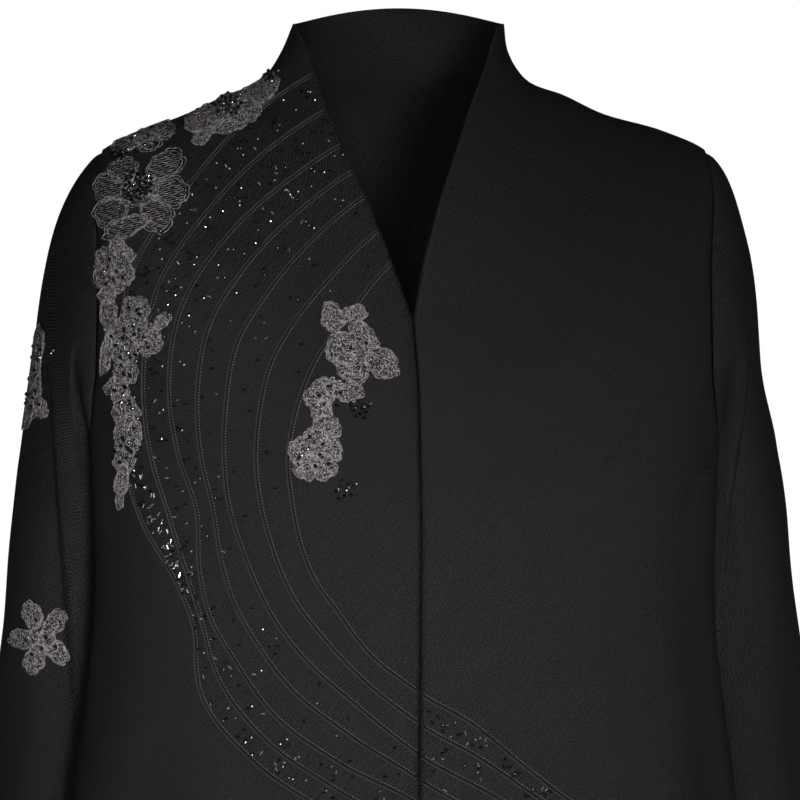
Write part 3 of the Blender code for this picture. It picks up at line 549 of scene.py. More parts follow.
def sleeve_point(side, down, turn):
    """A sleeve's outer face in millimetres: for each turn round it, one Hermite curve that
    leaves the armhole square to its seam and runs through the level sections, which are
    ellipses, with the folds and a slow waviness added outwards."""
    down, turn = np.broadcast_arrays(np.asarray(down, float), np.asarray(turn, float))
    sine = np.sin(np.radians(turn))
    cosine = np.cos(np.radians(turn))
    seam = armhole_places(side, turn)
    before, after = armhole_places(side, turn - 0.5), armhole_places(side, turn + 0.5)
    seam_way = body_point(*after, False) - body_point(*before, False)
    away = side * unit(np.cross(body_normal(*seam), seam_way))
    out_way = np.array([side * 1.0, 0.0, -0.25])
    leave = unit(away + SLEEVE_SPREAD * (sine**2)[..., None] * out_way)
    stations = [body_point(*seam)]
    for ring in named(SLEEVE_COLUMNS, SLEEVE_RINGS):
        stations.append(np.stack([
            side * (ring["x"] + ring["half_out"] * cosine),
            ring["y"] - ring["half_fore"] * sine,
            ring["z"] + ring["outer_raise"] * cosine,
        ], axis=-1))
    places = np.concatenate([[0.0], SLEEVE["down"]])
    reach = np.linalg.norm(stations[1] - stations[0], axis=-1, keepdims=True)
    slopes = [leave * reach * 0.9 / places[1]]
    for row in range(1, len(stations)):
        after = min(row + 1, len(stations) - 1)
        slopes.append((stations[after] - stations[row - 1]) / (places[after] - places[row - 1]))
    slopes[1] = np.where((cosine < 0)[..., None], slopes[2], slopes[1])
    point = np.zeros(seam_way.shape)
    for row in range(len(stations) - 1):
        width = places[row + 1] - places[row]
        f = np.clip((down - places[row]) / width, 0, 1)[..., None]
        here = (down >= places[row]) & ((down < places[row + 1]) | (row == len(stations) - 2))
        ends = stations[row], slopes[row], stations[row + 1], slopes[row + 1]
        piece = hermite(f, width, *ends)
        point = np.where(here[..., None], piece, point)
    wave = 0.5 * np.sin(0.045 * down + 3 * np.radians(turn)) + 0.35 * np.sin(0.083 * down + side)
    rise = sleeve_fold_rise(side, down, turn) + wave * ease(down, 40.0, 160.0)
    outwards = np.stack([side * cosine, -sine, np.zeros(sine.shape)], axis=-1)
    return point + rise[..., None] * outwards


def sleeve_normal(side, down, turn):
    """The outward direction of a sleeve: the cross product of its two directions."""
    down = np.clip(down, 1.0, SLEEVE_LENGTH - 1.0)
    along, across = tangents(lambda d, t: sleeve_point(side, d, t), down, turn, 0.5, 0.5)
    return unit(np.cross(across, along)) * side


SLEEVE_MM_PER_DEGREE = 0.84
SLEEVE_ROWS = 190
SLEEVE_COLS = 144
sleeve_down = np.linspace(0, SLEEVE_LENGTH, SLEEVE_ROWS)[:, None] * np.ones(SLEEVE_COLS)
sleeve_turn = np.linspace(-180, 180, SLEEVE_COLS + 1)[None, :-1] * np.ones((SLEEVE_ROWS, 1))
for side, name in ((-1, "sleeve_right"), (1, "sleeve_left")):
    points = sleeve_point(side, sleeve_down, sleeve_turn)
    normal = sleeve_normal(side, sleeve_down, sleeve_turn)
    points += sew_dip(sleeve_down)[..., None] * normal
    points[0] += SLEEVE_SEAM_GAP * unit(points[2] - points[0])
    faces = grid_faces(SLEEVE_ROWS, SLEEVE_COLS, close=True)
    if side > 0:
        faces = faces[:, ::-1]
    uv = np.stack([sleeve_turn * SLEEVE_MM_PER_DEGREE * -side, -sleeve_down], axis=-1)
    crepe_piece(name, points, faces, uv)

# The tucks: seven curved pin tucks, each a narrow fold of the crepe itself stood on edge and
# sewn along its foot. They sweep from the neckline round to the hip of the other front.
TUCK_MIDDLE_X = 9.75
TUCK_MIDDLE_Z = -253.5
TUCK_COUNT = 7
TUCK_COLUMNS = ("direction", "first", "third", "fifth", "seventh")
TUCK_GUIDES = (
    (96, 276, 224, 187, 138),
    (115, 254, 205, 164, 110),
    (130, 236, 195, 151, 100),
    (145, 225, 186, 143, 92),
    (160, 206, 171, 132, 87),
    (175, 192, 156, 126, 85),
    (190, 181, 145, 124, 84),
    (205, 171, 155, 124, 87),
    (215, 176, 163, 127, 91),
    (225, 198, 168, 132, 96),
    (240, 212, 181, 141, 104),
    (255, 224, 192, 154, 121),
    (270, 250, 211, 180, 141),
    (285, 303, 260, 219, 176),
    (295, 356, 312, 268, 234),
    (305, 436, 392, 350, 315),
)
TUCK = columns(TUCK_COLUMNS, TUCK_GUIDES)
# A tuck's section: how far from its middle, and how high it stands there. Its last two faces
# are a flat strip beside the fold, painted dark: a painted shadow for the pressed groove
# between the fold and its stitches.
TUCK_SECTION = (
    (-0.65, -0.5), (-0.5, 0.5), (-0.3, 1.15), (0.0, 1.35), (0.3, 1.15), (0.45, 0.5),
    (0.55, 0.1), (1.35, 0.1), (1.5, -0.3),
)
GROOVE_SHADOW_FACES = 2
# The fold is the same crepe painted lighter than the cloth: a painted highlight where its rounded
# edge catches the light.
folded = new_material("black crepe fold, painted highlight", "#333034", 0.7, 0.25)[0]


def between_tucks(direction, place):
    """A point seen from the front at a direction round the tucks' middle, on the tuck of that
    number from 0 to 6 or between two: the guides' distances, mixed evenly."""
    names = TUCK_COLUMNS[1:]
    radii = np.stack([smooth(direction, TUCK["direction"], TUCK[name]) for name in names])
    at = np.clip(np.asarray(place, float) / 2, 0, len(names) - 1)
    lower = np.minimum(at.astype(int), len(names) - 2)
    between = at - lower
    index = np.arange(np.size(direction))
    radius = (1 - between) * radii[lower, index] + between * radii[lower + 1, index]
    x = TUCK_MIDDLE_X + radius * np.cos(np.radians(direction))
    z = TUCK_MIDDLE_Z + radius * np.sin(np.radians(direction))
    return np.stack([x, z], axis=-1)


NEWTON_STEPS = 16


def find_on(surface, x, z, first, second, low, high):
    """A surface's own two numbers for points given as seen from the front, by Newton steps."""
    for _ in range(NEWTON_STEPS):
        here = surface(first, second)
        along, across = tangents(surface, first, second)
        across = across / 0.5
        miss_x = x - here[..., 0]
        miss_z = z - here[..., 2]
        area = along[..., 0] * across[..., 2] - along[..., 2] * across[..., 0]
        area = np.where(np.abs(area) < 0.05, np.copysign(0.05, area), area)
        step_first = (miss_x * across[..., 2] - miss_z * across[..., 0]) / area
        step_second = (along[..., 0] * miss_z - along[..., 2] * miss_x) / area
        first = np.clip(first + np.clip(step_first, -30, 30), low[0], high[0])
        second = np.clip(second + np.clip(step_second, -8, 8), low[1], high[1])
    return first, second


def find_on_body(x, z):
    """The distance down and the angle of points on the fronts, as seen from the front."""
    guess = np.degrees(np.arcsin(np.clip(x / 225.0, -0.95, 0.95)))
    return find_on(body_point, x, z, 110.0 - z, guess, (2, -89), (HEM, 89))


def strip(path, normal, section):
    """A profile carried along a path: at each point the section's offsets go to the side, the
    cross product of the normal and the way ahead, and its heights along the normal."""
    ahead = unit(np.gradient(path, axis=0))
    aside = unit(np.cross(normal, ahead))
    off = np.array(section, float)
    points = path[:, None] + aside[:, None] * off[None, :, :1] + normal[:, None] * off[None, :, 1:]
    run = np.concatenate([[0], np.cumsum(np.linalg.norm(np.diff(path, axis=0), axis=-1))])
    uv = np.stack(np.broadcast_arrays(off[None, :, 0], run[:, None]), axis=-1)
    return points, uv


def join(parts):
    """Several (points, faces) pairs as one, the later corner numbers moved on."""
    counts = np.cumsum([0] + [len(points) for points, _ in parts])
    faces = [faces + shift for (_, faces), shift in zip(parts, counts)]
    return np.concatenate([points for points, _ in parts]), np.concatenate(faces)


# Where the lace lies, seen from the front: flowers as a middle, a reach, a number of petals
# and a turn, and single leaves as a middle, a heading, a length and a width. The tucks lie
# flat under it.
FLOWERS = {
    "lace_upper_chest": ((-186.5, -126, 14, 5, 60),),
    "lace_chest": ((-56.6, -243, 17, 5, 90),),
}
LEAVES = {
    "lace_collar_side": (
        (-134, -28, 200, 17, 13), (-130, -38, 215, 15, 9), (-126, -25, 190, 20, 17),
        (-113, -30, 20, 26, 12), (-115, -19, 30, 24, 18), (-103, -22, 20, 22, 15),
        (-98, -12, 30, 24, 17), (-89, -6, 70, 20, 14),
    ),
    "lace_shoulder": (
        (-179, -42, 190, 22, 10), (-166, -39, 265, 18, 18), (-157, -34, 25, 17, 13),
        (-168, -36, 15, 28, 11),
    ),
    "lace_flower": (
        (-178, -97, 200, 32, 13), (-160, -88, 300, 28, 20), (-181, -61, 110, 18, 19),
        (-155, -58, 35, 30, 17), (-152, -74, 345, 27, 20), (-190, -71, 170, 20, 19),
        (-188, -87, 205, 24, 19), (-171, -75, 20, 28, 18),
    ),
    "lace_upper_chest": (
        (-184, -111, 85, 16, 10), (-192, -117, 115, 14, 10), (-179, -117, 55, 14, 11),
        (-190, -140, 250, 14, 11),
    ),
    "lace_column": (
        (-189, -155, 95, 24, 11), (-172, -151, 60, 19, 17), (-156, -159, 38, 17, 8),
        (-176, -163, 10, 26, 20), (-164, -170, 320, 20, 17), (-179, -175, 270, 20, 18),
        (-190.5, -177, 262, 30, 7), (-178, -189, 275, 18, 16), (-183, -200, 250, 17, 16),
        (-178, -214, 290, 22, 17), (-176, -229, 265, 24, 18), (-178, -244, 262, 22, 14),
        (-180, -259, 262, 22, 9), (-181.5, -271, 268, 14, 5),
    ),
    "lace_chest": (
        (-46, -155, 285, 20, 14), (-34, -154, 15, 20, 11), (-27, -166, 310, 26, 12),
        (-16, -183, 318, 28, 17), (-39, -176, 150, 22, 20), (-34, -188, 330, 24, 17),
        (-53, -204, 235, 24, 17), (-39, -202, 350, 26, 13), (-52, -216, 265, 16, 13),
        (-50, -226, 300, 18, 18),
    ),
    "lace_sleeve_upper": (
        (-239, -180, 82, 40, 9), (-241, -204, 262, 34, 12), (-245, -218, 250, 20, 7),
        (-236, -212, 290, 16, 9),
    ),
    "lace_sleeve_lower": (
        (-246, -363, 182, 22, 12), (-240, -350, 112, 24, 12), (-227, -353, 48, 22, 12),
        (-226, -370, 315, 22, 12), (-239, -375, 250, 22, 13), (-235, -362, 20, 17, 16),
    ),
}


def petals_of(flowers):
    """A flower's petals as leaves set round its middle, each a bit over half its reach away."""
    rows = []
    for x, z, reach, petals, turn in flowers:
        for heading in turn + np.arange(petals) * 360 / petals:
            way = np.radians(heading)
            width = min(2.3 * 0.55 * reach * np.tan(np.pi / petals), 1.05 * reach)
            rows.append((
                x + 0.53 * reach * np.cos(way), z + 0.53 * reach * np.sin(way),
                heading, 0.98 * reach, width,
            ))
    return tuple(rows)


PETALS = {
    name: petals_of(FLOWERS.get(name, ())) + LEAVES.get(name, ())
    for name in sorted({*FLOWERS, *LEAVES})
}


def petal_reach(seen, petal):
    """How far out points seen from the front lie in a petal's ellipse: 0 in the middle, 1 at its
    margin."""
    x, z, heading, length, width = petal
    way = np.radians(heading)
    along = (seen[:, 0] - x) * np.cos(way) + (seen[:, 1] - z) * np.sin(way)
    across = (seen[:, 1] - z) * np.cos(way) - (seen[:, 0] - x) * np.sin(way)
    return np.hypot(along / (length / 2), across / (width / 2))


def clear_of_lace(seen):
    """How clear points seen from the front are of the lace: 0 well inside a petal, 1 outside."""
    clear = np.ones(len(seen))
    for petals in PETALS.values():
        for petal in petals:
            clear = np.minimum(clear, ease(petal_reach(seen, petal), 0.85, 1.1))
    return clear


TUCK_END_GAP = 1.1
TUCK_SUNK_UNDER_LACE = 2.4
SIDE_SEAM_X = 214.0
STITCH_HEIGHT = 0.3
STITCH_PITCH = 1.95
STITCH_OFF = 2.2
tuck_runs = []
for number in range(TUCK_COUNT):
    direction = np.arange(TUCK["direction"][0], TUCK["direction"][-1], 0.3)
    seen = between_tucks(direction, np.full(len(direction), float(number)))
    on_right = seen[:, 0] < edge_x(-1, seen[:, 1]) - TUCK_END_GAP
    on_left = seen[:, 0] > edge_x(1, seen[:, 1]) + TUCK_END_GAP
    on_left &= (seen[:, 1] < -200) & (seen[:, 0] < SIDE_SEAM_X)
    for side, chosen in ((-1, on_right), (1, on_left)):
        line = seen[chosen]
        down, angle = find_on_body(line[:, 0], line[:, 1])
        path, normal = body_point(down, angle), body_normal(down, angle)
        tuck_runs.append((side, path, normal, clear_of_lace(line)))
stitch_rows = []
for side, name in ((-1, "tucks_right"), (1, "tucks_left")):
    parts = []
    uvs = []
    for run_side, path, normal, clear in tuck_runs:
        if run_side != side:
            continue
        points, uv = strip(path, normal, TUCK_SECTION)
        sink = (1 - clear) * TUCK_SUNK_UNDER_LACE
        points -= sink[:, None, None] * normal[:, None]
        parts.append((points.reshape(-1, 3), grid_faces(len(path), len(TUCK_SECTION))[:, ::-1]))
        uvs.append(uv.reshape(-1, 2))
        run = np.concatenate([[0], np.cumsum(np.linalg.norm(np.diff(path, axis=0), axis=-1))])
        at = np.arange(STITCH_PITCH, run[-1] - STITCH_PITCH, STITCH_PITCH)
        aside = unit(np.cross(normal, unit(np.gradient(path, axis=0))))
        row = path + STITCH_OFF * aside + (STITCH_HEIGHT - sink)[:, None] * normal
        ahead = unit(np.gradient(row, axis=0))
        columns_of = np.concatenate([row, normal, ahead], axis=-1)
        stitch_rows.append(np.stack([np.interp(at, run, c) for c in columns_of.T], axis=-1))
    points, faces = join(parts)
    tucks = add_mesh(name, points, faces, np.concatenate(uvs))
    fit_piece(tucks, folded)
    # The fold's faces take the lighter crepe, a painted highlight, and the strip's faces the dark
    # crepe, a painted groove shadow.
    tucks.data.materials.append(crepe_shadow)
    groove_shadowed = np.arange(len(TUCK_SECTION) - 1) >= len(TUCK_SECTION) - 1 - GROOVE_SHADOW_FACES
    in_groove_shadow = np.tile(groove_shadowed, len(faces) // len(groove_shadowed))
    tucks.data.polygons.foreach_set("material_index", in_groove_shadow.astype(np.int32))

# The stitches: each tuck's own row of black machine stitching. A stitch is a short thread that
# dives into the cloth at both ends.
# The black thread is coloured mid grey: a painted sheen for the shine of its polyester, on top of
# its real gloss.
thread = new_material("black sewing thread, painted sheen", "#59565c", 0.35, 0.6)[0]


def small_shape(make, **settings):
    """One small shape from a bmesh tool, in millimetres, as points and triangles."""
    shape = bmesh.new()
    make(shape, **settings)
    bmesh.ops.triangulate(shape, faces=shape.faces)
    points = np.array([vert.co for vert in shape.verts])
    faces = np.array([[vert.index for vert in face.verts] for face in shape.faces])
    shape.free()
    return points, faces


def scatter(name, shape, places, normal, ahead, material, smooth_faces=True):
    """Copies of a small shape in one mesh, each with its length along the way ahead and its
    top along the normal."""
    points, faces = shape
    ahead = unit(ahead - (ahead * normal).sum(axis=-1, keepdims=True) * normal)
    axes = np.stack([ahead, np.cross(normal, ahead), normal], axis=1)
    every = places[:, None] + np.einsum("pk,nkc->npc", points, axes)
    shift = np.arange(len(places))[:, None, None] * len(points)
    copies = add_mesh(name, every, (faces + shift).reshape(-1, 3), None, smooth_faces)
    fit_piece(copies, material)


stitch = small_shape(bmesh.ops.create_cube, size=1.0)
stitch = (stitch[0] * np.array([0.95, 0.6, 0.5]), stitch[1])
rows = np.concatenate(stitch_rows)
scatter("tuck_stitches", stitch, rows[:, :3], rows[:, 3:6], rows[:, 6:], thread)

# The lace: guipure flowers and leaves sewn on by hand. A net ground carries a cord round each
# petal, laid double, with finer threads inside, all in dark grey viscose and cotton.
guipure_cord, tree, shader = new_material("dark grey couched cord", None, 0.6, 0.35)
place = node(tree, "ShaderNodeTexCoord")
worn = node(tree, "ShaderNodeTexNoise", {0: place.outputs["Object"]}, input_2=500.0, input_3=2.0)
cord_tone = ramp(tree, worn.outputs[0], (0.35, "#2f2d2f"), (0.65, "#a39da2"))
tree.links.new(cord_tone, shader.inputs["Base Color"])

guipure_net, tree, shader = new_material("dark grey guipure net", None, 0.8, 0.2)
place = node(tree, "ShaderNodeTexCoord")
knots = node(
    tree, "ShaderNodeTexNoise", {0: place.outputs["Object"]}, input_2=1100.0, input_3=2.5,
)
net_tone = ramp(tree, knots.outputs[0], (0.43, "#080708"), (0.54, "#4c484b"), (0.63, "#b5afb4"))
net_height = node(tree, "ShaderNodeBump", {"Height": knots.outputs[0]}, input_0=0.8, input_1=0.0006)
tree.links.new(net_tone, shader.inputs["Base Color"])
tree.links.new(net_height.outputs[0], shader.inputs["Normal"])

PETAL_FRILLS = 5
PETAL_FRILL_DEPTH = 0.06
NET_CELLS = 13
THREADED = ("lace_flower", "lace_shoulder")
THREAD_HEADING = 9.0
THREAD_PITCH = 1.35


def petal_point(petal, along, across, frill_turn):
    """A petal's points seen from the front, from places in a unit circle: stretched to its
    length and width, wider by a quarter at its outer end and frilled at its margin."""
    x, z, heading, length, width = petal
    reach = np.hypot(along, across)
    turn = np.arctan2(across, along)
    ruffle = sum(
        share * np.sin(waves * turn + shift * frill_turn)
        for waves, shift, share in ((PETAL_FRILLS, 1, 1.0), (9, 2.3, 0.8), (15, 3.7, 0.5))
    )
    frill = 1 + PETAL_FRILL_DEPTH * reach**3 * ruffle
    far = along * frill * length / 2
    wide = across * frill * (1 + 0.25 * along) * width / 2
    way = np.radians(heading)
    return np.stack([
        x + far * np.cos(way) - wide * np.sin(way), z + far * np.sin(way) + wide * np.cos(way),
    ], axis=-1)


def level_threads(petal, frill_turn):
    """Fine threads side by side across a petal, all with one heading: each is the chord of the
    petal's ellipse at its own distance from the middle, a little wavy."""
    x, z, heading, length, width = petal
    turned = np.radians(THREAD_HEADING - heading)
    half = np.array([length / 2, width / 2])
    way = np.array([np.cos(turned), np.sin(turned)]) / half
    step = np.array([-np.sin(turned), np.cos(turned)]) / half
    lines = []
    for number in range(-20, 21):
        off = number * THREAD_PITCH * step
        middle = -(way @ off) / (way @ way)
        spare = middle**2 - (off @ off - 0.83**2) / (way @ way)
        if spare < 2.0:
            continue
        run = middle + np.linspace(-1, 1, max(6, int(spare**0.5))) * spare**0.5
        wave = 0.35 * np.sin(0.9 * run + 2 * number + frill_turn)
        level = np.radians(THREAD_HEADING)
        across = number * THREAD_PITCH + wave
        line = np.stack([
            x + run * np.cos(level) - across * np.sin(level),
            z + run * np.sin(level) + across * np.cos(level),
        ], axis=-1)
        lines.append((line, 0.26, 0.55, False))
    return lines


def petal_cords(petal, frill_turn, threaded):
    """A petal's cords and threads seen from the front, each a line, a radius, a height above
    the cloth and whether it is closed: two rounds at the margin, then straight threads side by
    side or wavy inner rounds with a middle vein."""
    length, width = petal[3:]
    around = np.linspace(0, 2 * np.pi, 44, endpoint=False)
    lines = []
    for share, radius in ((1.0, 0.42), (0.86, 0.34)):
        loop = petal_point(petal, share * np.cos(around), share * np.sin(around), frill_turn)
        lines.append((loop, radius, 0.75, True))
    if threaded:
        lines.extend(level_threads(petal, frill_turn))
        return lines
    for share, waves in ((0.62, 5), (0.36, 4)):
        wave = share * (1 + 0.22 * np.sin(waves * around + 2 * frill_turn))
        loop = petal_point(petal, wave * np.cos(around), wave * np.sin(around), frill_turn)
        lines.append((loop, 0.26, 0.7, True))
    along = np.linspace(-0.85, 0.7, 16)
    wave = 0.1 * np.sin(6 * along + frill_turn)
    lines.append((petal_point(petal, along, wave, frill_turn), 0.3, 0.8, False))
    return lines


def tubes(lines, surface, hidden, sides=4):
    """Round threads laid on the cloth along lines seen from the front, closed at their ends and
    sunk where the petals lie over them."""
    seen = np.concatenate([line for line, *_ in lines])
    point, normal = surface(seen)
    turn = np.arange(sides) * 2 * np.pi / sides
    parts = []
    first = 0
    for line, radius, lift, closed in lines:
        rows = slice(first, first + len(line))
        first += len(line)
        path = point[rows] + (lift - hidden(seen[rows]))[:, None] * normal[rows]
        if closed:
            ahead = unit(np.roll(path, -1, axis=0) - np.roll(path, 1, axis=0))
        else:
            ahead = unit(np.gradient(path, axis=0))
        aside = unit(np.cross(normal[rows], ahead))
        ring = np.cos(turn)[:, None] * aside[:, None] + np.sin(turn)[:, None] * normal[rows][:, None]
        faces = grid_faces(len(line), sides, close=True, close_rows=closed)[:, ::-1]
        if not closed:
            last = (len(line) - 1) * sides
            faces = np.concatenate([faces, [[0, 1, 2, 3], [last + 3, last + 2, last + 1, last]]])
        parts.append(((path[:, None] + radius * ring).reshape(-1, 3), faces))
    return join(parts)


def depth_inside(seen, petals):
    """How many millimetres a cord sinks at each point: 1.2 where two petals or more cover it."""
    covers = sum((petal_reach(seen, petal) < 0.8 for petal in petals), np.zeros(len(seen)))
    return 1.2 * (covers > 1)


def front_surface(seen):
    """The fronts' face and its outward direction at points seen from the front."""
    down, angle = find_on_body(seen[:, 0], seen[:, 1])
    return body_point(down, angle), body_normal(down, angle)


def right_sleeve_surface(seen):
    """The right sleeve's face and its outward direction at points seen from the front."""
    start = np.full(len(seen), 150.0), np.full(len(seen), 50.0)
    low, high = (12, 4), (SLEEVE_LENGTH - 12, 120)
    surface = partial(sleeve_point, -1)
    down, turn = find_on(surface, seen[:, 0], seen[:, 1], *start, low, high)
    return sleeve_point(-1, down, turn), sleeve_normal(-1, down, turn)


square = np.linspace(-1, 1, NET_CELLS)
square_along, square_across = np.meshgrid(square, square, indexing="ij")
disc_along = (square_along * np.sqrt(1 - square_across**2 / 2)).ravel()
disc_across = (square_across * np.sqrt(1 - square_along**2 / 2)).ravel()
disc_rim = np.hypot(disc_along, disc_across) > 0.999
for name, petals in PETALS.items():
    surface = right_sleeve_surface if name.startswith("lace_sleeve") else front_surface
    lines = []
    patches = []
    for number, petal in enumerate(petals):
        lines.extend(petal_cords(petal, 1.7 * number, name in THREADED))
        patches.append(petal_point(petal, disc_along, disc_across, 1.7 * number))
    if name in THREADED:
        hidden = partial(depth_inside, petals=())
    else:
        hidden = partial(depth_inside, petals=petals)
    cords = add_mesh(name + "_cords", *tubes(lines, surface, hidden))
    fit_piece(cords, guipure_cord)
    point, normal = surface(np.concatenate(patches))
    layer = np.repeat(np.arange(len(petals)), len(disc_along))
    lift = np.where(np.tile(disc_rim, len(petals)), 0.1, 0.42 + 0.03 * layer)
    faces = grid_faces(NET_CELLS, NET_CELLS)
    parts = [(block, faces) for block in np.split(point + lift[:, None] * normal, len(petals))]
    net = add_mesh(name + "_net", *join(parts))
    # The threaded pieces' patch is the painted-shade crepe: the cloth between their threads painted
    # darker as shade.
    fit_piece(net, crepe_shadow if name in THREADED else guipure_net)
    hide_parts(name)

# The beads: black cut-glass rounds, silver-lined seeds and bugles, sewn on by hand. They are
# thick near the shoulder and thin out down the tucks and towards the centre front.
BEAD_COLUMNS = ("from", "to", "place_from", "place_to", "black", "silver", "bugle")
BEAD_BANDS = (
    (104, 128, 0, 1, 26, 9, 3),
    (103, 128, 1, 2, 26, 8, 4),
    (101, 128, 2, 3, 20, 7, 3),
    (100, 130, 3, 4, 11, 3, 2),
    (99, 140, 4, 5, 6, 2, 1),
    (99, 150, 5, 6, 4, 1, 0),
    (128, 152, 0, 1, 22, 8, 3),
    (128, 152, 1, 2, 18, 6, 2),
    (128, 152, 2, 3, 10, 3, 1),
    (130, 155, 3, 4, 5, 1, 0),
    (140, 170, 4, 5, 3, 1, 0),
    (152, 180, 0, 1, 22, 6, 3),
    (152, 180, 1, 2, 12, 6, 1),
    (152, 180, 2, 3, 8, 3, 0),
    (155, 190, 3, 4, 4, 1, 0),
    (170, 200, 4, 6, 4, 0, 0),
    (180, 208, 0, 1, 14, 6, 34),
    (180, 210, 1, 2, 8, 4, 3),
    (180, 210, 2, 4, 6, 2, 1),
    (208, 228, 0, 2, 12, 3, 2),
    (210, 230, 2, 4, 6, 1, 0),
    (228, 262, 0, 1, 22, 6, 4),
    (225, 266, 1, 2, 16, 4, 3),
    (225, 268, 2, 4, 10, 3, 1),
    (271, 300, 5, 6, 26, 7, 6),
    (271, 298, 4, 5, 12, 4, 2),
    (272, 296, 3, 4, 6, 1, 1),
    (262, 303, 0, 2, 20, 6, 4),
)
# Clusters: a middle seen from the front, a reach and a number of black beads.
CLUSTERS = (
    (-87, 2, 5, 11), (-184.5, -50, 5.5, 11), (-28.5, -214, 6.5, 11), (-38.5, -265, 7, 9),
    (-171.5, -71, 10, 30), (-114, -18, 9, 22), (-186, -126, 10, 9), (-176, -172, 14, 14),
    (-181, -205, 8, 6), (-177, -240, 9, 8), (-57, -243, 12, 7), (-30, -180, 13, 7),
    (-44, -204, 12, 6), (-168, -38, 11, 8), (-240, -182, 13, 9), (-242, -207, 8, 6),
    (-235, -362, 13, 8),
)
SLEEVE_BEADS_X = -222.0
rng = np.random.default_rng(7)


def spread(count, first):
    """Even but unrepeating places in a unit square: steps of the plastic number's shares."""
    number = np.arange(first, first + count)
    jitter = rng.uniform(-0.06, 0.06, (count, 2))
    return (np.stack([number * 0.7548777, number * 0.5698403], axis=-1) + jitter) % 1


jet, tree, shader = new_material("black cut glass", "#020202", 0.08)
shader.inputs["IOR"].default_value = 1.8
silvered, tree, shader = new_material("silver-lined glass", "#c9ccd2", 0.2)
shader.inputs["Metallic"].default_value = 0.85

beads = {"black": [], "silver": [], "bugle": []}
for number, row in enumerate(named(BEAD_COLUMNS, BEAD_BANDS)):
    kinds = rng.permutation(np.repeat(list(beads), [row[kind] for kind in beads]))
    at = spread(len(kinds), 97 * number)
    direction = row["from"] + (row["to"] - row["from"]) * at[:, 0]
    place = row["place_from"] + (row["place_to"] - row["place_from"]) * at[:, 1]
    place = np.floor(place) + 0.2 + 0.64 * (place % 1)
    band_places = between_tucks(direction, place)
    for kind in beads:
        beads[kind].append(band_places[kinds == kind])
for x, z, radius, count in CLUSTERS:
    turn = np.arange(count) * 2.39996
    away = radius * np.sqrt((np.arange(count) + 0.5) / count)
    seen = np.stack([x + away * np.cos(turn), z + away * np.sin(turn)], axis=-1)
    beads["black"].append(seen)
    beads["silver"].append(seen[::4] + 1.6)
ball = small_shape(bmesh.ops.create_icosphere, subdivisions=2, radius=1.0)
tube = small_shape(
    bmesh.ops.create_cone, cap_ends=True, segments=6, radius1=0.5, radius2=0.5, depth=2.7
)
tube = (tube[0][:, [2, 0, 1]], tube[1])
for kind, shape, lift, material, slot in (
    ("black", (ball[0] * np.array([1.3, 1.3, 1.05]), ball[1]), 0.9, jet, "beads"),
    ("silver", (ball[0] * 0.85, ball[1]), 0.65, silvered, "silver_beads"),
    ("bugle", tube, 0.45, silvered, "silver_beads"),
):
    seen = np.concatenate(beads[kind])
    clear = (seen[:, 0] < edge_x(-1, seen[:, 1]) - 2.0) | (seen[:, 0] > edge_x(1, seen[:, 1]) + 2.0)
    seen = seen[clear & (seen[:, 0] < SIDE_SEAM_X)]
    point, normal = front_surface(seen)
    on_sleeve = seen[:, 0] < SLEEVE_BEADS_X
    if on_sleeve.any():
        point[on_sleeve], normal[on_sleeve] = right_sleeve_surface(seen[on_sleeve])
    lift = lift + 0.9 * (1 - clear_of_lace(seen))
    heading = rng.normal(0, 1, (len(seen), 3))
    places = point + lift[:, None] * normal
    scatter(kind + "_beads", shape, places, normal, heading, material, smooth_faces=False)

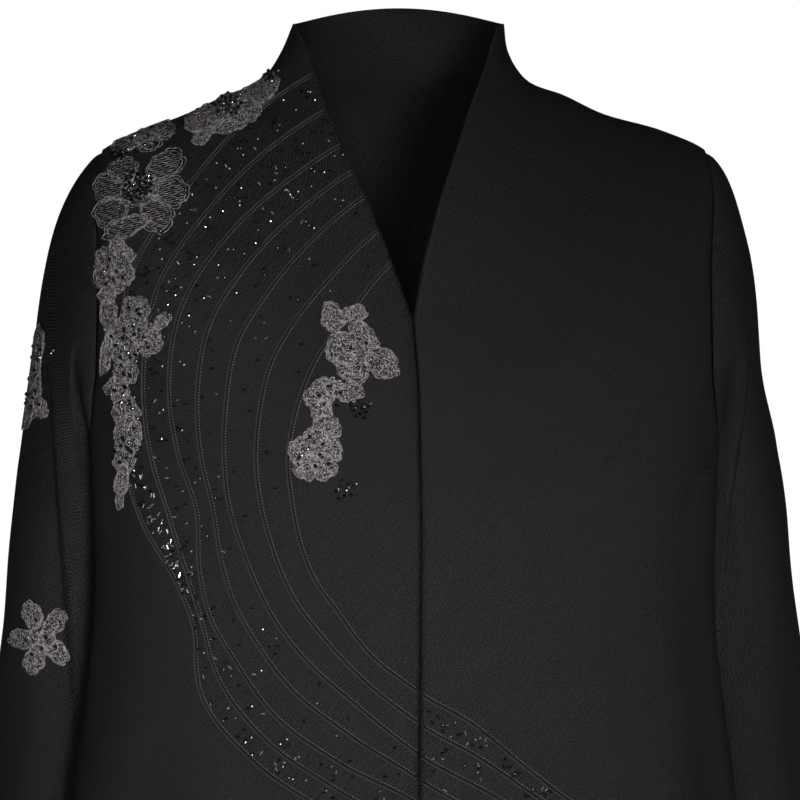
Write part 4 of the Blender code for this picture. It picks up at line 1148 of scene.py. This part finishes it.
# The light: a soft key low in front, a weak fill, a wash from above, a lamp for the flashes on
# the beads, one behind and one over the floor. The camera is level with the chest and far off.
floor_points = np.array([[-6, -6], [6, -6], [6, 6], [-6, 6]]) / MM
FLOOR_Z = -1460.0
floor = add_mesh(
    "floor", np.column_stack([floor_points, np.full(4, FLOOR_Z)]), np.array([[0, 1, 2, 3]])
)
paper, tree, shader = new_material("pale paper floor", None, 0.9)
mottle = node(tree, "ShaderNodeTexNoise", input_2=6.0)
paper_tone = ramp(tree, mottle.outputs[0], (0.0, "#ececec"), (1.0, "#f4f4f4"))
tree.links.new(paper_tone, shader.inputs["Base Color"])
floor.data.materials.append(paper)

world = bpy.data.worlds.new("white studio")
bpy.context.scene.world = world
world.use_nodes = True
tree = world.node_tree
surround = tree.nodes["Background"]
surround.inputs[0].default_value = (1.0, 1.0, 1.0, 1.0)
seen_or_lit = node(tree, "ShaderNodeLightPath")
strength = node(
    tree, "ShaderNodeMapRange", {0: seen_or_lit.outputs["Is Camera Ray"]}, input_3=0.02, input_4=1.0
)
tree.links.new(strength.outputs[0], surround.inputs[1])

CHEST = (-0.03, 0.0, -0.34)
for name, place, target, size, power, spread_angle in (
    ("key", (0.4, -2.6, -0.9), CHEST, 0.6, 1.6, 22.0),
    ("fill", (2.0, -3.2, 0.3), CHEST, 1.6, 0.5, 90.0),
    ("top", (0.2, -0.6, 2.6), CHEST, 2.0, 4.0, 120.0),
    ("sparkle", (-0.5, -3.4, 0.9), CHEST, 0.9, 3.0, 60.0),
    ("back", (0.0, 3.2, -0.6), (0.0, 0.0, -0.6), 0.6, 22.0, 70.0),
    ("floor", (0.0, 3.0, 2.6), (0.0, 3.0, -1.4), 1.0, 70.0, 80.0),
):
    lamp = bpy.data.lights.new(name, "AREA")
    lamp.size = size
    lamp.energy = power
    lamp.spread = np.radians(spread_angle)
    light = bpy.data.objects.new(name, lamp)
    bpy.context.scene.collection.objects.link(light)
    light.location = place
    aim = np.array(target) - np.array(place)
    away_level = np.hypot(aim[0], aim[1])
    light.rotation_euler = (np.arctan2(away_level, -aim[2]), 0.0, np.arctan2(-aim[0], aim[1]))

CAMERA_DISTANCE = 5.0
VIEW_WIDTH = 0.520
SENSOR = 36.0
view = bpy.data.cameras.new("photo view")
view.sensor_width = SENSOR
view.lens = SENSOR * CAMERA_DISTANCE / VIEW_WIDTH
camera = bpy.data.objects.new("photo view", view)
camera.location = (-0.003, -CAMERA_DISTANCE, -0.208)
camera.rotation_euler = (np.pi / 2, 0.0, 0.0)
bpy.context.scene.collection.objects.link(camera)
bpy.context.scene.camera = camera
bpy.context.scene.view_settings.view_transform = "Standard"
